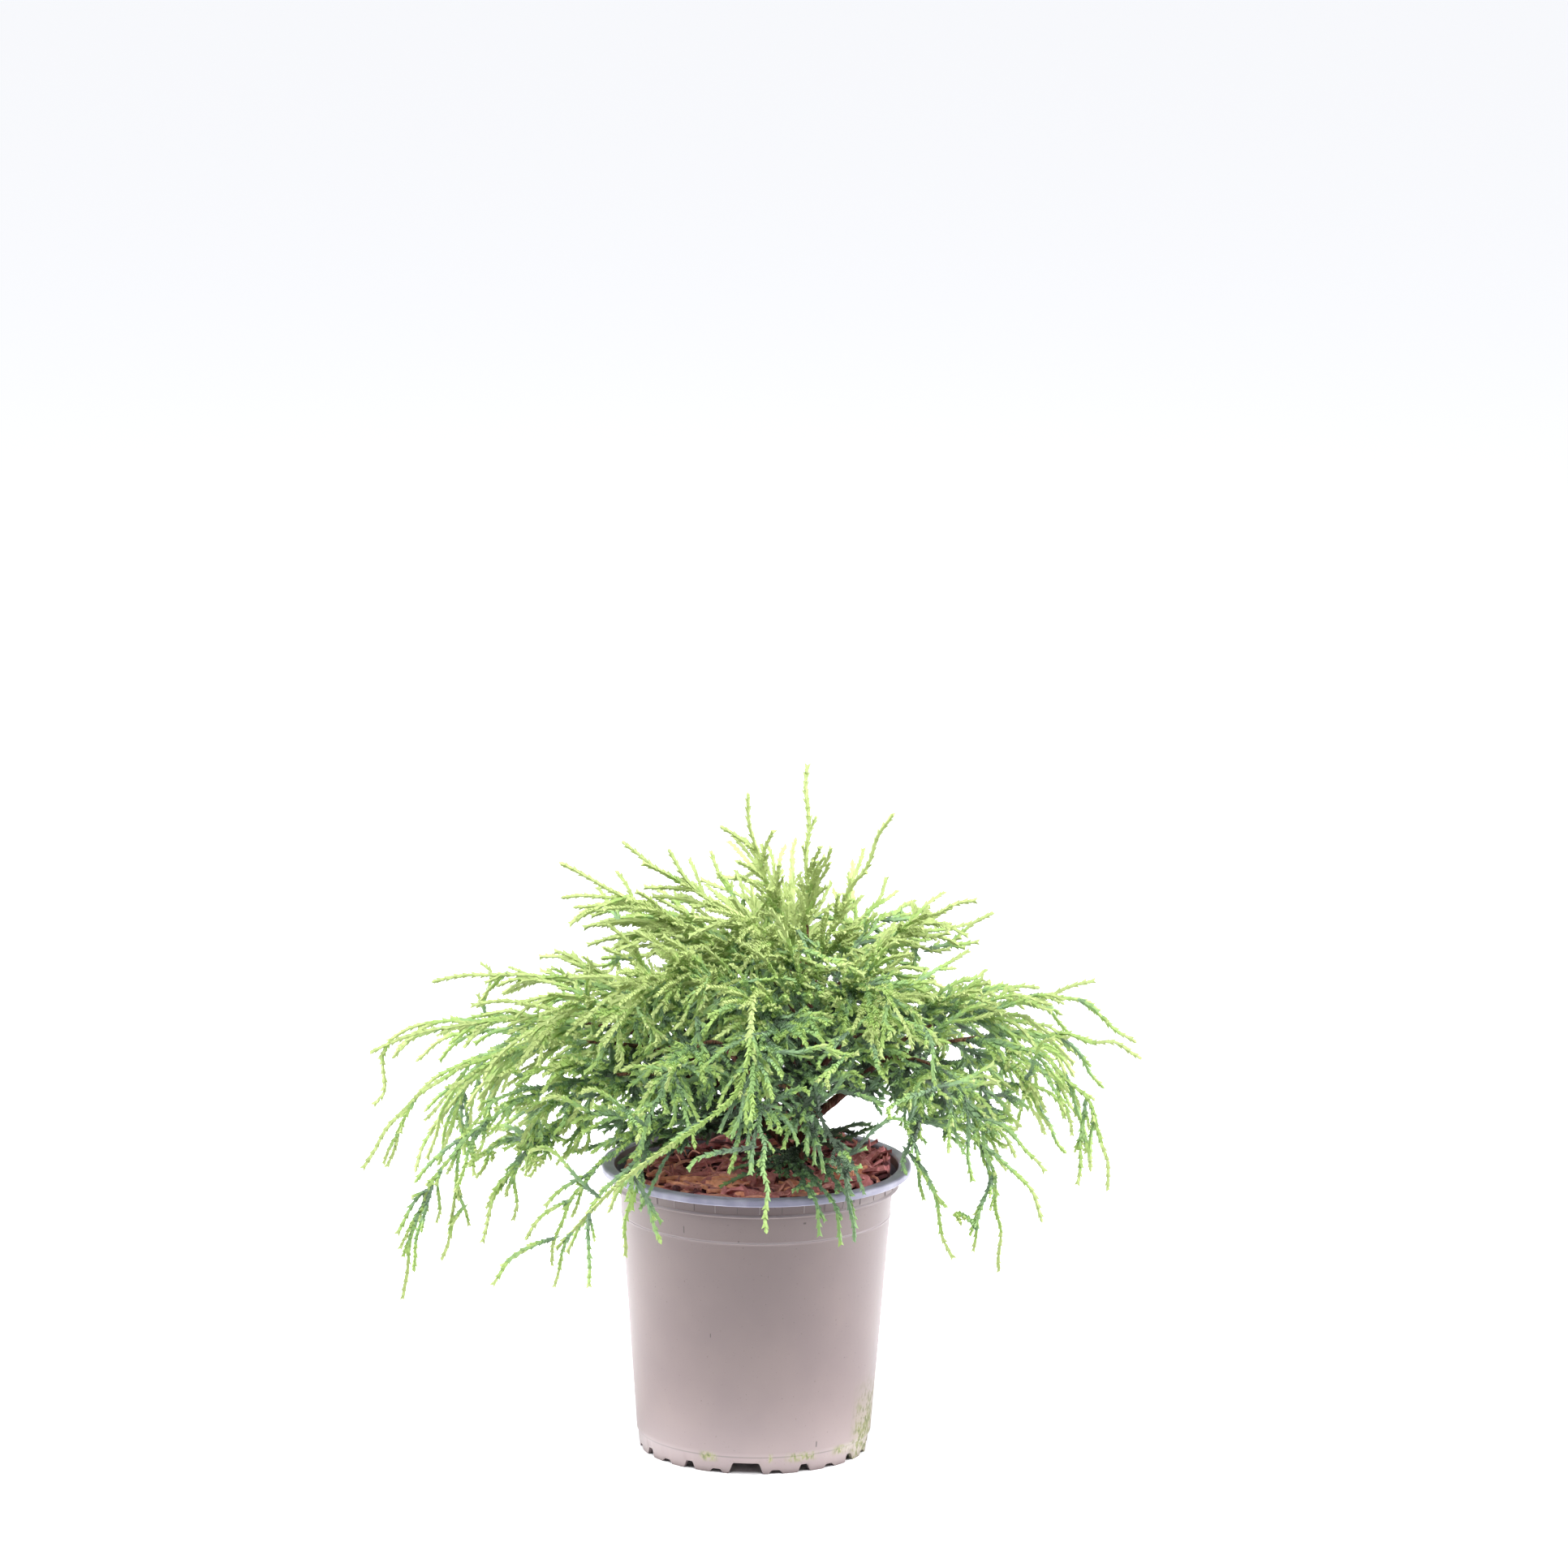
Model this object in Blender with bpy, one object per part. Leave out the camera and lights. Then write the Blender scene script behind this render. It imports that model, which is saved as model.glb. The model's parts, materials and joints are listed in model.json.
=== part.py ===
# Potted thread-leaved sawara cypress: a nursery pot with bark mulch, and a low, wide, weeping shrub.
# Metres, +Z up. The origin is on the ground under the pot's centre, and -Y is the side seen first.
import math
import random
from collections import namedtuple

import bmesh
import bpy
import numpy as np
from mathutils import Matrix, Vector

# Pot: a round 3 litre container of 190 mm
RIM_RADIUS = 0.095
RIM_TOP = 0.1783
RIM_LIP = 0.0044
RIM_EDGE = 0.0012
RIM_LIP_WIDTH = 0.0018
RIM_FLANGE = 0.0080
COLLAR_RADIUS, COLLAR_FLARE = 0.0868, 0.0008
RIDGE_HEIGHT = 0.1656
RIDGE_PROUD = 0.0009
RIDGE_FLANK = 0.0012
WALL_TOP_RADIUS = 0.0838
WALL_FOOT_RADIUS = 0.0717
WALL = 0.0016
FOOT_HEIGHT = 0.0092
FOOT_RADIUS = 0.0702
FOOT_RING = 0.0022
FLOOR_THICKNESS = 0.0016
POT_SIDES = 32

# Openings under the foot: a gate every quarter, arches between, and shallow scallops in every other place.
# The last value of each is its top's share of its width.
FOOT_STATIONS = 24
STATIONS_PER_GATE = 6
FOOT_TURN = -3.6
GATE = (0.0185, 0.0066, 0.78)
ARCH = (0.0056, 0.0046, 0.5)
SCALLOP = (0.0078, 0.0020, 0.5)
CUT_DEPTH, CUT_BELOW = 0.006, 0.002

# Filling: compost with a layer of bark on it
COMPOST_TOP = 0.1600
MULCH_TOP = 0.1684
MULCH_FALL = 0.0012
MULCH_HOLE = 0.0082
CHIPS = 15
CHIP_LENGTHS, CHIP_WIDTHS, CHIP_THICKNESSES = (0.012, 0.022), (0.006, 0.010), (0.003, 0.004)
CHIP_TILT = 7.0
CHIP_NEAREST, CHIP_FURTHEST = 0.034, 0.069
CHIP_CLEAR_OF_TRUNK = 0.024
CHIP_SETTLING = (-0.0006, 0.0004)

# Wood
TRUNK_FOOT = Vector((0.022, 0.010, 0.0))
TRUNK_TIP = Vector((0.030, 0.006, 0.300))
TRUNK_BOW = Vector((0.008, 0.004, 0.0))
FLARE_RADIUS, TRUNK_RADIUS, TRUNK_TIP_RADIUS = 0.0076, 0.0050, 0.0022
FLARE_HEIGHT = 0.010
STEM_RADIUS, STEM_TIP_RADIUS = 0.0032, 0.0017
STEM_SAG = 0.006
BOUGH_RADIUS, BOUGH_TIP_RADIUS = 0.0020, 0.0014
TRUNK_SIDES, STEM_SIDES, BOUGH_SIDES = 9, 7, 5
GAP = 0.0003

# A limb rises this share of its arch's height over this share of its span
RISE, RISE_SPAN = 0.85, 0.30

# Foliage: each limb ends in a cord of scale leaves, and slim sprays leave it on both sides.
# A spray is a toothed blade that stands for a few of the real, finer threads.
CORD_THICKNESS, CORD_TIP_THICKNESS = 0.0030, 0.0014
CORD_EDGE = 0.0019
CORD_REACH = 0.0080
CORD_STEP, CORD_FOOT, CORD_FOOT_RADIUS = 0.026, 0.004, 0.0007
CORD_ROWS = 5
SPRAY_THICKNESS, SPRAY_TIP_THICKNESS = 0.0015, 0.0009
SPRAY_EDGE = 0.0017
SPRAY_REACH = 0.0078
SPRAY_STEP = 0.022
SPRAY_SPACING = 0.0165
SPRAY_ANGLE = 36.0
SPRAY_ANGLE_SPREAD = (0.75, 1.3)
SPRAY_ROLL = 75.0
# the share of the cord that carries sprays, and how their length changes along it and from one to the next
SPRAY_FIRST, SPRAY_RUN, SPRAY_NEAREST = 0.05, 0.77, 0.03
SPRAY_JITTER = 0.3
SPRAY_LENGTH, SPRAY_SHORTENING = 1.1, 0.6
SPRAY_SPREAD = (0.8, 1.15)
SPRAY_OVERRUN = 0.9
SPRAY_ATTEMPTS, SPRAY_RETRY = 4, 0.82
SPRAY_SAG_HIGH, SPRAY_SAG_LOW = 0.15, 0.65
ARCH_HIGH, ARCH_LOW = 0.345, 0.270
BLADE_ROLL = 75.0
BLADE_NARROWING, BLADE_FOOT = 0.4, 0.4
TOOTH_LEAN = 1.45
# a heading is upright where its level part is shorter than this
UPRIGHT = 0.2
# the height that the sprays keep under, at a distance from the pot's axis
CROWN_PROFILE = ((0.0, 0.402), (0.085, 0.362), (0.130, 0.342), (0.170, 0.292), (0.205, 0.282), (0.240, 0.246))
SPACE_MARGIN = 0.0026
WOOD_MARGIN = 0.0050
RIM_MARGIN = 0.0025
INNER_MARGIN = 0.0020
MULCH_MARGIN = 0.0060
GROUND_MARGIN = 0.0040
SEED = 4107

Stem = namedtuple("Stem", "name leaves_at azimuth reach height")
# leaves_at is the height where the stem leaves the trunk
STEMS = (
    Stem("left_stem", 0.184, 176, 0.048, 0.262),
    Stem("right_stem", 0.207, 4, 0.084, 0.250),
    Stem("front_stem", 0.198, 252, 0.058, 0.262),
    Stem("back_stem", 0.216, 84, 0.070, 0.262),
)

Limb = namedtuple("Limb", "name stem share azimuth reach arch tip hang spray bough")
# share is how far up its stem the limb leaves, and 1 carries on from the stem's tip.
# azimuth, reach and tip say where the furthest point is, from the pot's centre and the ground.
# arch is the height that the limb arches up to, and hang is how far out it goes before it turns down.
# spray is the length of the longest sprays on it, and bough the length of bare wood at its foot.
LIMBS = (
    Limb("leader", "trunk", 1.00, 0, 0.0286, 0.395, 0.4250, 0.75, 0.045, 0),
    Limb("top_right", "trunk", 0.93, 350, 0.0800, 0.350, 0.3990, 0.60, 0.045, 0),
    Limb("top_middle", "trunk", 0.93, 215, 0.0100, 0.345, 0.4080, 0.80, 0.040, 0),
    Limb("top_left", "trunk", 0.89, 172, 0.0830, 0.345, 0.3740, 0.70, 0.060, 0),
    Limb("top_back", "trunk", 0.86, 100, 0.1100, 0.350, 0.3550, 0.75, 0.065, 0),
    Limb("top_front", "trunk", 0.83, 250, 0.0900, 0.348, 0.3550, 0.75, 0.060, 0),
    Limb("upper_left", "trunk", 0.79, 190, 0.1200, 0.330, 0.3680, 0.60, 0.065, 0),
    Limb("upper_right", "trunk", 0.76, 8, 0.1320, 0.330, 0.3400, 0.75, 0.065, 0),
    Limb("upper_back_left", "trunk", 0.71, 136, 0.1600, 0.335, 0.3050, 0.85, 0.075, 0),
    Limb("upper_back_right", "trunk", 0.68, 48, 0.1650, 0.335, 0.3000, 0.85, 0.075, 0),
    Limb("upper_front_left", "trunk", 0.65, 226, 0.1500, 0.325, 0.2900, 0.80, 0.075, 0),
    Limb("upper_front_right", "trunk", 0.62, 308, 0.1500, 0.322, 0.2800, 0.80, 0.075, 0),
    Limb("middle_front", "trunk", 0.57, 268, 0.1650, 0.305, 0.2450, 0.90, 0.075, 0.030),
    Limb("middle_right", "trunk", 0.53, 352, 0.1700, 0.292, 0.2600, 0.80, 0.070, 0.030),
    Limb("middle_left", "trunk", 0.50, 200, 0.1750, 0.300, 0.2450, 0.85, 0.075, 0.030),
    Limb("inner_back", "trunk", 0.46, 70, 0.1300, 0.262, 0.2250, 0.85, 0.060, 0),
    Limb("inner_front", "trunk", 0.40, 285, 0.1200, 0.245, 0.2150, 0.85, 0.060, 0),
    Limb("inner_left", "trunk", 0.34, 148, 0.1300, 0.235, 0.2050, 0.85, 0.060, 0),
    Limb("inner_right", "trunk", 0.37, 20, 0.1350, 0.240, 0.2250, 0.85, 0.055, 0),
    Limb("left_high", "left_stem", 1.00, 177, 0.1970, 0.297, 0.2880, 0.80, 0.070, 0),
    Limb("left_middle", "left_stem", 0.88, 184, 0.2345, 0.275, 0.2500, 0.75, 0.070, 0.030),
    Limb("left_low", "left_stem", 0.74, 194, 0.2440, 0.272, 0.1880, 0.82, 0.075, 0.030),
    Limb("left_weeping", "left_stem", 0.56, 205, 0.2330, 0.256, 0.1180, 0.98, 0.075, 0.030),
    Limb("left_back", "left_stem", 0.66, 152, 0.2250, 0.268, 0.1500, 0.92, 0.080, 0.030),
    Limb("right_high", "right_stem", 1.00, 4, 0.2045, 0.276, 0.2910, 0.75, 0.065, 0),
    Limb("right_middle", "right_stem", 0.88, 357, 0.2325, 0.268, 0.2520, 0.75, 0.065, 0.030),
    Limb("right_low", "right_stem", 0.74, 346, 0.2200, 0.280, 0.1790, 0.98, 0.070, 0.030),
    Limb("right_weeping", "right_stem", 0.58, 326, 0.1780, 0.272, 0.1400, 0.98, 0.070, 0.030),
    Limb("right_back", "right_stem", 0.66, 34, 0.2150, 0.272, 0.1700, 0.95, 0.080, 0.030),
    Limb("front_spray", "front_stem", 1.00, 243, 0.1720, 0.266, 0.1600, 0.90, 0.070, 0),
    Limb("front_drape", "front_stem", 0.80, 272, 0.2050, 0.262, 0.1900, 0.90, 0.065, 0.030),
    Limb("front_right", "front_stem", 0.62, 292, 0.1560, 0.250, 0.1680, 0.95, 0.060, 0.030),
    Limb("front_low", "front_stem", 0.40, 224, 0.1700, 0.225, 0.1450, 0.92, 0.070, 0.025),
    Limb("back_middle", "back_stem", 1.00, 88, 0.2050, 0.290, 0.2200, 0.90, 0.080, 0),
    Limb("back_left", "back_stem", 0.80, 120, 0.2150, 0.270, 0.1600, 0.95, 0.080, 0.030),
    Limb("back_right", "back_stem", 0.66, 60, 0.2100, 0.265, 0.1750, 0.95, 0.080, 0.030),
)

PATH_STEPS = 24
HEADING_STEP = 0.002
SAMPLES = 40
TAUPE = (0.36, 0.31, 0.29)
COMPOST_BROWN = (0.035, 0.022, 0.014)
BARK_RED = (0.20, 0.065, 0.035)
WOOD_BROWN = (0.11, 0.045, 0.028)
LEAF_GREEN = (0.19, 0.36, 0.06)


def material(name, colour, roughness):
    """A plain painted finish, made once and used by every piece that names it."""
    found = bpy.data.materials.get(name)
    if found:
        return found
    made = bpy.data.materials.new(name)
    made.use_nodes = True
    shader = made.node_tree.nodes["Principled BSDF"]
    shader.inputs["Base Color"].default_value = (*colour, 1.0)
    shader.inputs["Roughness"].default_value = roughness
    shader.inputs["Metallic"].default_value = 0.0
    made.diffuse_color = (*colour, 1.0)
    return made


def object_from(bm, name, finish, smooth=True):
    """Turns a bmesh into a named object of the scene."""
    bmesh.ops.recalc_face_normals(bm, faces=bm.faces)
    mesh = bpy.data.meshes.new(name)
    bm.to_mesh(mesh)
    bm.free()
    mesh.materials.append(finish)
    if smooth:
        mesh.shade_smooth()
        mesh.set_sharp_from_angle(angle=math.radians(35))
    made = bpy.data.objects.new(name, mesh)
    bpy.context.scene.collection.objects.link(made)
    return made


def polar(azimuth, radius, height):
    """A point at an azimuth in degrees, a distance from the pot's axis and a height."""
    turn = math.radians(azimuth)
    return Vector((radius * math.cos(turn), radius * math.sin(turn), height))


def wall_radius(height):
    """Outer radius of the pot's plain wall at a height."""
    share = (height - FOOT_HEIGHT) / (RIDGE_HEIGHT - FOOT_HEIGHT)
    return WALL_FOOT_RADIUS + (WALL_TOP_RADIUS - WALL_FOOT_RADIUS) * share


def apply_modifiers(piece, remove):
    """Keeps the piece as its modifiers leave it, and removes the helpers that they used."""
    graph = bpy.context.evaluated_depsgraph_get()
    mesh = bpy.data.meshes.new_from_object(piece.evaluated_get(graph))
    piece.modifiers.clear()
    piece.data = mesh
    for helper in remove:
        bpy.data.objects.remove(helper)


def helpers(name):
    """A collection for the pieces that a Boolean reads."""
    made = bpy.data.collections.new(name)
    bpy.context.scene.collection.children.link(made)
    return made


def into(collection, piece):
    """Moves a helper from the scene's own collection into one of a Boolean's."""
    bpy.context.scene.collection.objects.unlink(piece)
    collection.objects.link(piece)


def boolean(piece, collection, operation):
    """Cuts or joins everything in the collection in one step."""
    step = piece.modifiers.new("join", "BOOLEAN")
    step.operation = operation
    step.operand_type = "COLLECTION"
    step.collection = collection
    step.solver = "EXACT"
    apply_modifiers(piece, list(collection.objects))
    bpy.data.collections.remove(collection)


def turned(profile, sides, name, finish):
    """Turns a profile of (radius, height) pairs round the upright axis into a closed solid."""
    bm = bmesh.new()
    rings = [[bm.verts.new((radius, 0.0, height)) for radius, height in profile]]
    for step in range(1, sides):
        turn = Matrix.Rotation(math.tau * step / sides, 4, "Z")
        rings.append([bm.verts.new(turn @ v.co) for v in rings[0]])
    for step in range(sides):
        here, there = rings[step], rings[(step + 1) % sides]
        for i in range(len(profile)):
            j = (i + 1) % len(profile)
            bm.faces.new((here[i], here[j], there[j], there[i]))
    bmesh.ops.remove_doubles(bm, verts=bm.verts, dist=1e-6)
    bmesh.ops.dissolve_degenerate(bm, edges=bm.edges, dist=1e-6)
    return object_from(bm, name, finish)


def prism_cutter(outline, depth, azimuth, radius, collection):
    """A bar of the outline (across, up) that runs outwards through the foot at an azimuth."""
    bm = bmesh.new()
    near = [bm.verts.new((radius - depth, x, z)) for x, z in outline]
    bm.faces.new(near)
    made = bmesh.ops.extrude_face_region(bm, geom=bm.faces[:])
    far = [v for v in made["geom"] if isinstance(v, bmesh.types.BMVert)]
    bmesh.ops.translate(bm, vec=(2 * depth, 0, 0), verts=far)
    bmesh.ops.rotate(bm, matrix=Matrix.Rotation(math.radians(azimuth), 3, "Z"), verts=bm.verts)
    cutter = object_from(bm, "foot_cutter", material("cutter", TAUPE, 0.5), smooth=False)
    cutter.hide_render = True
    cutter.display_type = "WIRE"
    into(collection, cutter)


def foot_outline(width, height, top_share):
    """A symmetric opening that starts below the ground and narrows to its flat top."""
    half, narrow = width / 2, width / 2 * top_share
    return [(-half, -CUT_BELOW), (half, -CUT_BELOW), (narrow, height), (-narrow, height)]


def build_pot():
    """The pot's wall, collar, rolled rim, raised floor and pierced foot, in one moulding."""
    inner_top = RIM_RADIUS - RIM_FLANGE
    profile = [
        (0.0, FOOT_HEIGHT),
        (wall_radius(FOOT_HEIGHT) - WALL, FOOT_HEIGHT),
        (wall_radius(RIDGE_HEIGHT) - WALL, RIDGE_HEIGHT - RIDGE_FLANK),
        (COLLAR_RADIUS - WALL, RIDGE_HEIGHT + RIDGE_FLANK / 2),
        (inner_top, RIM_TOP - RIM_EDGE),
        (inner_top + RIM_EDGE, RIM_TOP),
        (RIM_RADIUS - RIM_EDGE, RIM_TOP),
        (RIM_RADIUS, RIM_TOP - RIM_EDGE),
        (RIM_RADIUS, RIM_TOP - RIM_LIP),
        (RIM_RADIUS - RIM_LIP_WIDTH, RIM_TOP - RIM_LIP),
        (COLLAR_RADIUS + COLLAR_FLARE, RIM_TOP - 2 * RIM_EDGE),
        (COLLAR_RADIUS, RIDGE_HEIGHT + RIDGE_FLANK),
        (COLLAR_RADIUS + RIDGE_PROUD, RIDGE_HEIGHT),
        (WALL_TOP_RADIUS, RIDGE_HEIGHT - RIDGE_FLANK),
        (WALL_FOOT_RADIUS, FOOT_HEIGHT),
        (FOOT_RADIUS, 0.0),
        (FOOT_RADIUS - FOOT_RING, 0.0),
        (FOOT_RADIUS - FOOT_RING, FOOT_HEIGHT - FLOOR_THICKNESS),
        (0.0, FOOT_HEIGHT - FLOOR_THICKNESS),
    ]
    pot = turned(profile, POT_SIDES, "pot", material("pot_plastic", TAUPE, 0.35))
    cutters = helpers("foot_cutters")
    for station in range(FOOT_STATIONS):
        azimuth = 270 + FOOT_TURN + 360 / FOOT_STATIONS * station
        opening = SCALLOP
        if station % STATIONS_PER_GATE == 0:
            opening = GATE
        elif station % 2 == 0:
            opening = ARCH
        prism_cutter(foot_outline(*opening), CUT_DEPTH, azimuth, FOOT_RADIUS, cutters)
    boolean(pot, cutters, "DIFFERENCE")
    return pot


def build_root_ball():
    """The compost that fills the pot, with a flat top that the trunk and the bark stand on."""
    low = FOOT_HEIGHT + GAP
    clear = WALL + 2 * GAP
    profile = [
        (0.0, COMPOST_TOP),
        (wall_radius(COMPOST_TOP) - clear, COMPOST_TOP),
        (wall_radius(low) - clear, low),
        (0.0, low),
    ]
    return turned(profile, POT_SIDES, "root_ball", material("compost", COMPOST_BROWN, 0.95))


def chip(rng, place, collection):
    """One flake of bark, lying in the mulch with its upper side proud of it."""
    long, wide, thick = (rng.uniform(*sizes) for sizes in (CHIP_LENGTHS, CHIP_WIDTHS, CHIP_THICKNESSES))
    bm = bmesh.new()
    bmesh.ops.create_cube(bm, size=1.0)
    for v in bm.verts:
        narrowing = 0.62 if v.co.x > 0 else 0.9
        v.co = Vector((v.co.x * long, v.co.y * wide * narrowing, v.co.z * thick))
    tilt = Matrix.Rotation(math.radians(rng.uniform(-CHIP_TILT, CHIP_TILT)), 4, "X")
    turn = Matrix.Rotation(math.radians(rng.uniform(0, 360)), 4, "Z")
    bm.transform(Matrix.Translation(place) @ turn @ tilt)
    into(collection, object_from(bm, "chip", material("bark", BARK_RED, 0.85), smooth=False))


def build_mulch():
    """The bark layer: a low ring round the trunk's foot that flakes of bark stand out of."""
    rng = random.Random(SEED)
    outer = wall_radius(COMPOST_TOP) - WALL - 2 * GAP
    low = COMPOST_TOP + GAP
    profile = [
        (MULCH_HOLE, MULCH_TOP - MULCH_FALL),
        ((MULCH_HOLE + outer) / 2, MULCH_TOP),
        (outer, MULCH_TOP - MULCH_FALL),
        (outer, low),
        (MULCH_HOLE, low),
    ]
    mulch = turned(profile, POT_SIDES, "bark_mulch", material("bark", BARK_RED, 0.85))
    for vertex in mulch.data.vertices:
        # the hole is round the trunk's foot, which is not in the middle of the pot
        share = (outer - math.hypot(vertex.co.x, vertex.co.y)) / (outer - MULCH_HOLE)
        vertex.co += TRUNK_FOOT * share
    chips = helpers("chips")
    for k in range(CHIPS):
        height = MULCH_TOP + rng.uniform(*CHIP_SETTLING)
        place = polar(360 * (k + rng.uniform(0, 0.8)) / CHIPS, rng.uniform(CHIP_NEAREST, CHIP_FURTHEST), height)
        if (place - TRUNK_FOOT - Vector((0, 0, MULCH_TOP))).length > CHIP_CLEAR_OF_TRUNK:
            chip(rng, place, chips)
    boolean(mulch, chips, "UNION")
    return mulch


def bezier(a, b, c, d, steps):
    """Points along a cubic curve from a to d."""
    points = []
    for i in range(steps + 1):
        t = i / steps
        u = 1 - t
        points.append(a * u ** 3 + b * (3 * u * u * t) + c * (3 * u * t * t) + d * t ** 3)
    return points


class Path:
    """A line through points that can be read by the distance along it."""

    def __init__(self, points):
        self.points = points
        self.along = [0.0]
        for a, b in zip(points, points[1:]):
            self.along.append(self.along[-1] + (b - a).length)
        self.length = self.along[-1]

    def at(self, distance):
        distance = min(max(distance, 0.0), self.length)
        for i in range(len(self.points) - 1):
            if distance <= self.along[i + 1]:
                span = self.along[i + 1] - self.along[i]
                return self.points[i].lerp(self.points[i + 1], (distance - self.along[i]) / span)
        return self.points[-1].copy()

    def heading(self, distance):
        return (self.at(distance + HEADING_STEP) - self.at(distance - HEADING_STEP)).normalized()

    def between(self, start, end, count):
        """Evenly spaced points from one distance to another, both ends among them."""
        return [self.at(start + (end - start) * i / (count - 1)) for i in range(count)]


def skin(points, radii, sides, name, finish, level_foot=False):
    """A tapering limb along the points, cut flat at its foot and at its tip."""
    bm = bmesh.new()
    heading = (points[1] - points[0]).normalized()
    across = heading.orthogonal().normalized()
    rings = []
    for i, point in enumerate(points):
        ahead = points[min(i + 1, len(points) - 1)] - points[max(i - 1, 0)]
        if i == 0 and level_foot:
            ahead = Vector((0, 0, 1))
        turn = heading.rotation_difference(ahead.normalized())
        across = (turn @ across).normalized()
        heading = ahead.normalized()
        other = heading.cross(across)
        ring = []
        for k in range(sides):
            angle = math.tau * k / sides
            offset = across * math.cos(angle) + other * math.sin(angle)
            ring.append(bm.verts.new(point + offset * radii[i]))
        rings.append(ring)
    for low, high in zip(rings, rings[1:]):
        for k in range(sides):
            j = (k + 1) % sides
            bm.faces.new((low[k], low[j], high[j], high[k]))
    bm.faces.new(rings[0][::-1])
    bm.faces.new(rings[-1])
    return object_from(bm, name, finish)


def tapering(first, last, count):
    """Radii from first to last, one for each point."""
    return [first + (last - first) * i / (count - 1) for i in range(count)]


def trunk_path():
    """The trunk's axis: a slight lean and a slight bow, from the compost to its tip."""
    foot = Vector((TRUNK_FOOT.x, TRUNK_FOOT.y, COMPOST_TOP + GAP))
    third = (TRUNK_TIP - foot) / 3
    return Path(bezier(foot, foot + third + TRUNK_BOW, foot + 2 * third + TRUNK_BOW, TRUNK_TIP, PATH_STEPS))


def trunk_radius(path, distance):
    """Radius of the trunk at a distance up it, with the root flare at its foot."""
    taper = TRUNK_RADIUS + (TRUNK_TIP_RADIUS - TRUNK_RADIUS) * distance / path.length
    flare = max(0.0, 1 - distance / FLARE_HEIGHT) ** 2
    return taper + (FLARE_RADIUS - TRUNK_RADIUS) * flare


def build_trunk(path):
    """The trunk, with its root flare, from a flat cut on the compost to a flat tip."""
    bark = material("wood", WOOD_BROWN, 0.85)
    flare = [FLARE_HEIGHT * share for share in (0.0, 0.4, 0.8, 1.0)]
    marks = flare + [path.length * share for share in (0.3, 0.5, 0.7, 0.85, 1.0)]
    points = [path.at(mark) for mark in marks]
    radii = [trunk_radius(path, mark) for mark in marks]
    return skin(points, radii, TRUNK_SIDES, "trunk", bark, level_foot=True)


def leave(parent, distance, parent_radius, target, own_radius):
    """Where a limb starts: beside its parent, just clear of the bark, on the side that it grows towards."""
    root = parent.at(distance)
    along = parent.heading(distance)
    heading = (target - root).normalized()
    lean = heading.dot(along)
    side = (heading - along * lean).normalized()
    return root + side * (parent_radius + GAP + own_radius * abs(lean))


def stem_paths(trunk):
    """The axis of each secondary stem, from just clear of the trunk, with its radius at both ends."""
    paths = {}
    for stem in STEMS:
        distance = stem.leaves_at - COMPOST_TOP
        tip = polar(stem.azimuth, stem.reach, stem.height)
        rise = trunk.at(distance).lerp(tip, 0.5) - Vector((0, 0, STEM_SAG))
        start = leave(trunk, distance, trunk_radius(trunk, distance), rise, STEM_RADIUS)
        paths[stem.name] = Path(bezier(start, start.lerp(rise, 0.6), rise.lerp(tip, 0.3), tip, PATH_STEPS))
    return paths


def build_stems(paths):
    """The secondary stems, each one tapering limb."""
    bark = material("wood", WOOD_BROWN, 0.85)
    for name, path in paths.items():
        radii = tapering(STEM_RADIUS, STEM_TIP_RADIUS, 6)
        skin(path.between(0, path.length, 6), radii, STEM_SIDES, name, bark)


def limb_path(limb, trunk, stems):
    """The whole axis of a limb, from its stem out to the furthest tip of its foliage."""
    parent = stems.get(limb.stem, trunk)
    tip = polar(limb.azimuth, limb.reach, limb.tip)
    distance = parent.length * limb.share
    root = parent.at(distance)
    span = Vector((tip.x - root.x, tip.y - root.y, 0))
    rising = root + span * RISE_SPAN
    rising.z = root.z + (limb.arch - root.z) * RISE
    over = root + span * limb.hang
    over.z = limb.arch
    if limb.share == 1.0:
        start = root + parent.heading(distance) * GAP
        rising = root + parent.heading(distance) * span.length * RISE_SPAN
    else:
        radius = STEM_RADIUS + (STEM_TIP_RADIUS - STEM_RADIUS) * limb.share
        if parent is trunk:
            radius = trunk_radius(trunk, distance)
        start = leave(parent, distance, radius, rising, BOUGH_RADIUS if limb.bough else CORD_FOOT_RADIUS)
    return Path(bezier(start, rising, over, tip, PATH_STEPS))


def build_bough(limb, path):
    """The bare wood at the foot of a limb."""
    bark = material("wood", WOOD_BROWN, 0.85)
    radii = tapering(BOUGH_RADIUS, BOUGH_TIP_RADIUS, 4)
    points = path.between(0, limb.bough, 4)
    return skin(points, radii, BOUGH_SIDES, limb.name + "_bough", bark)


def clear_of_pot(point):
    """True where a cord clears the rim, the bark and the pot's side."""
    radius = math.hypot(point.x, point.y)
    if radius < RIM_RADIUS - RIM_FLANGE - INNER_MARGIN:
        return point.z > MULCH_TOP + MULCH_MARGIN
    if radius < RIM_RADIUS + RIM_MARGIN:
        return point.z > RIM_TOP + RIM_MARGIN
    return point.z > GROUND_MARGIN


def within_crown(point):
    """True where a point is under the crown's outline."""
    radius = math.hypot(point.x, point.y)
    for (near, near_top), (far, far_top) in zip(CROWN_PROFILE, CROWN_PROFILE[1:]):
        if radius <= far:
            return point.z < near_top + (far_top - near_top) * (radius - near) / (far - near)
    return False


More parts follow.
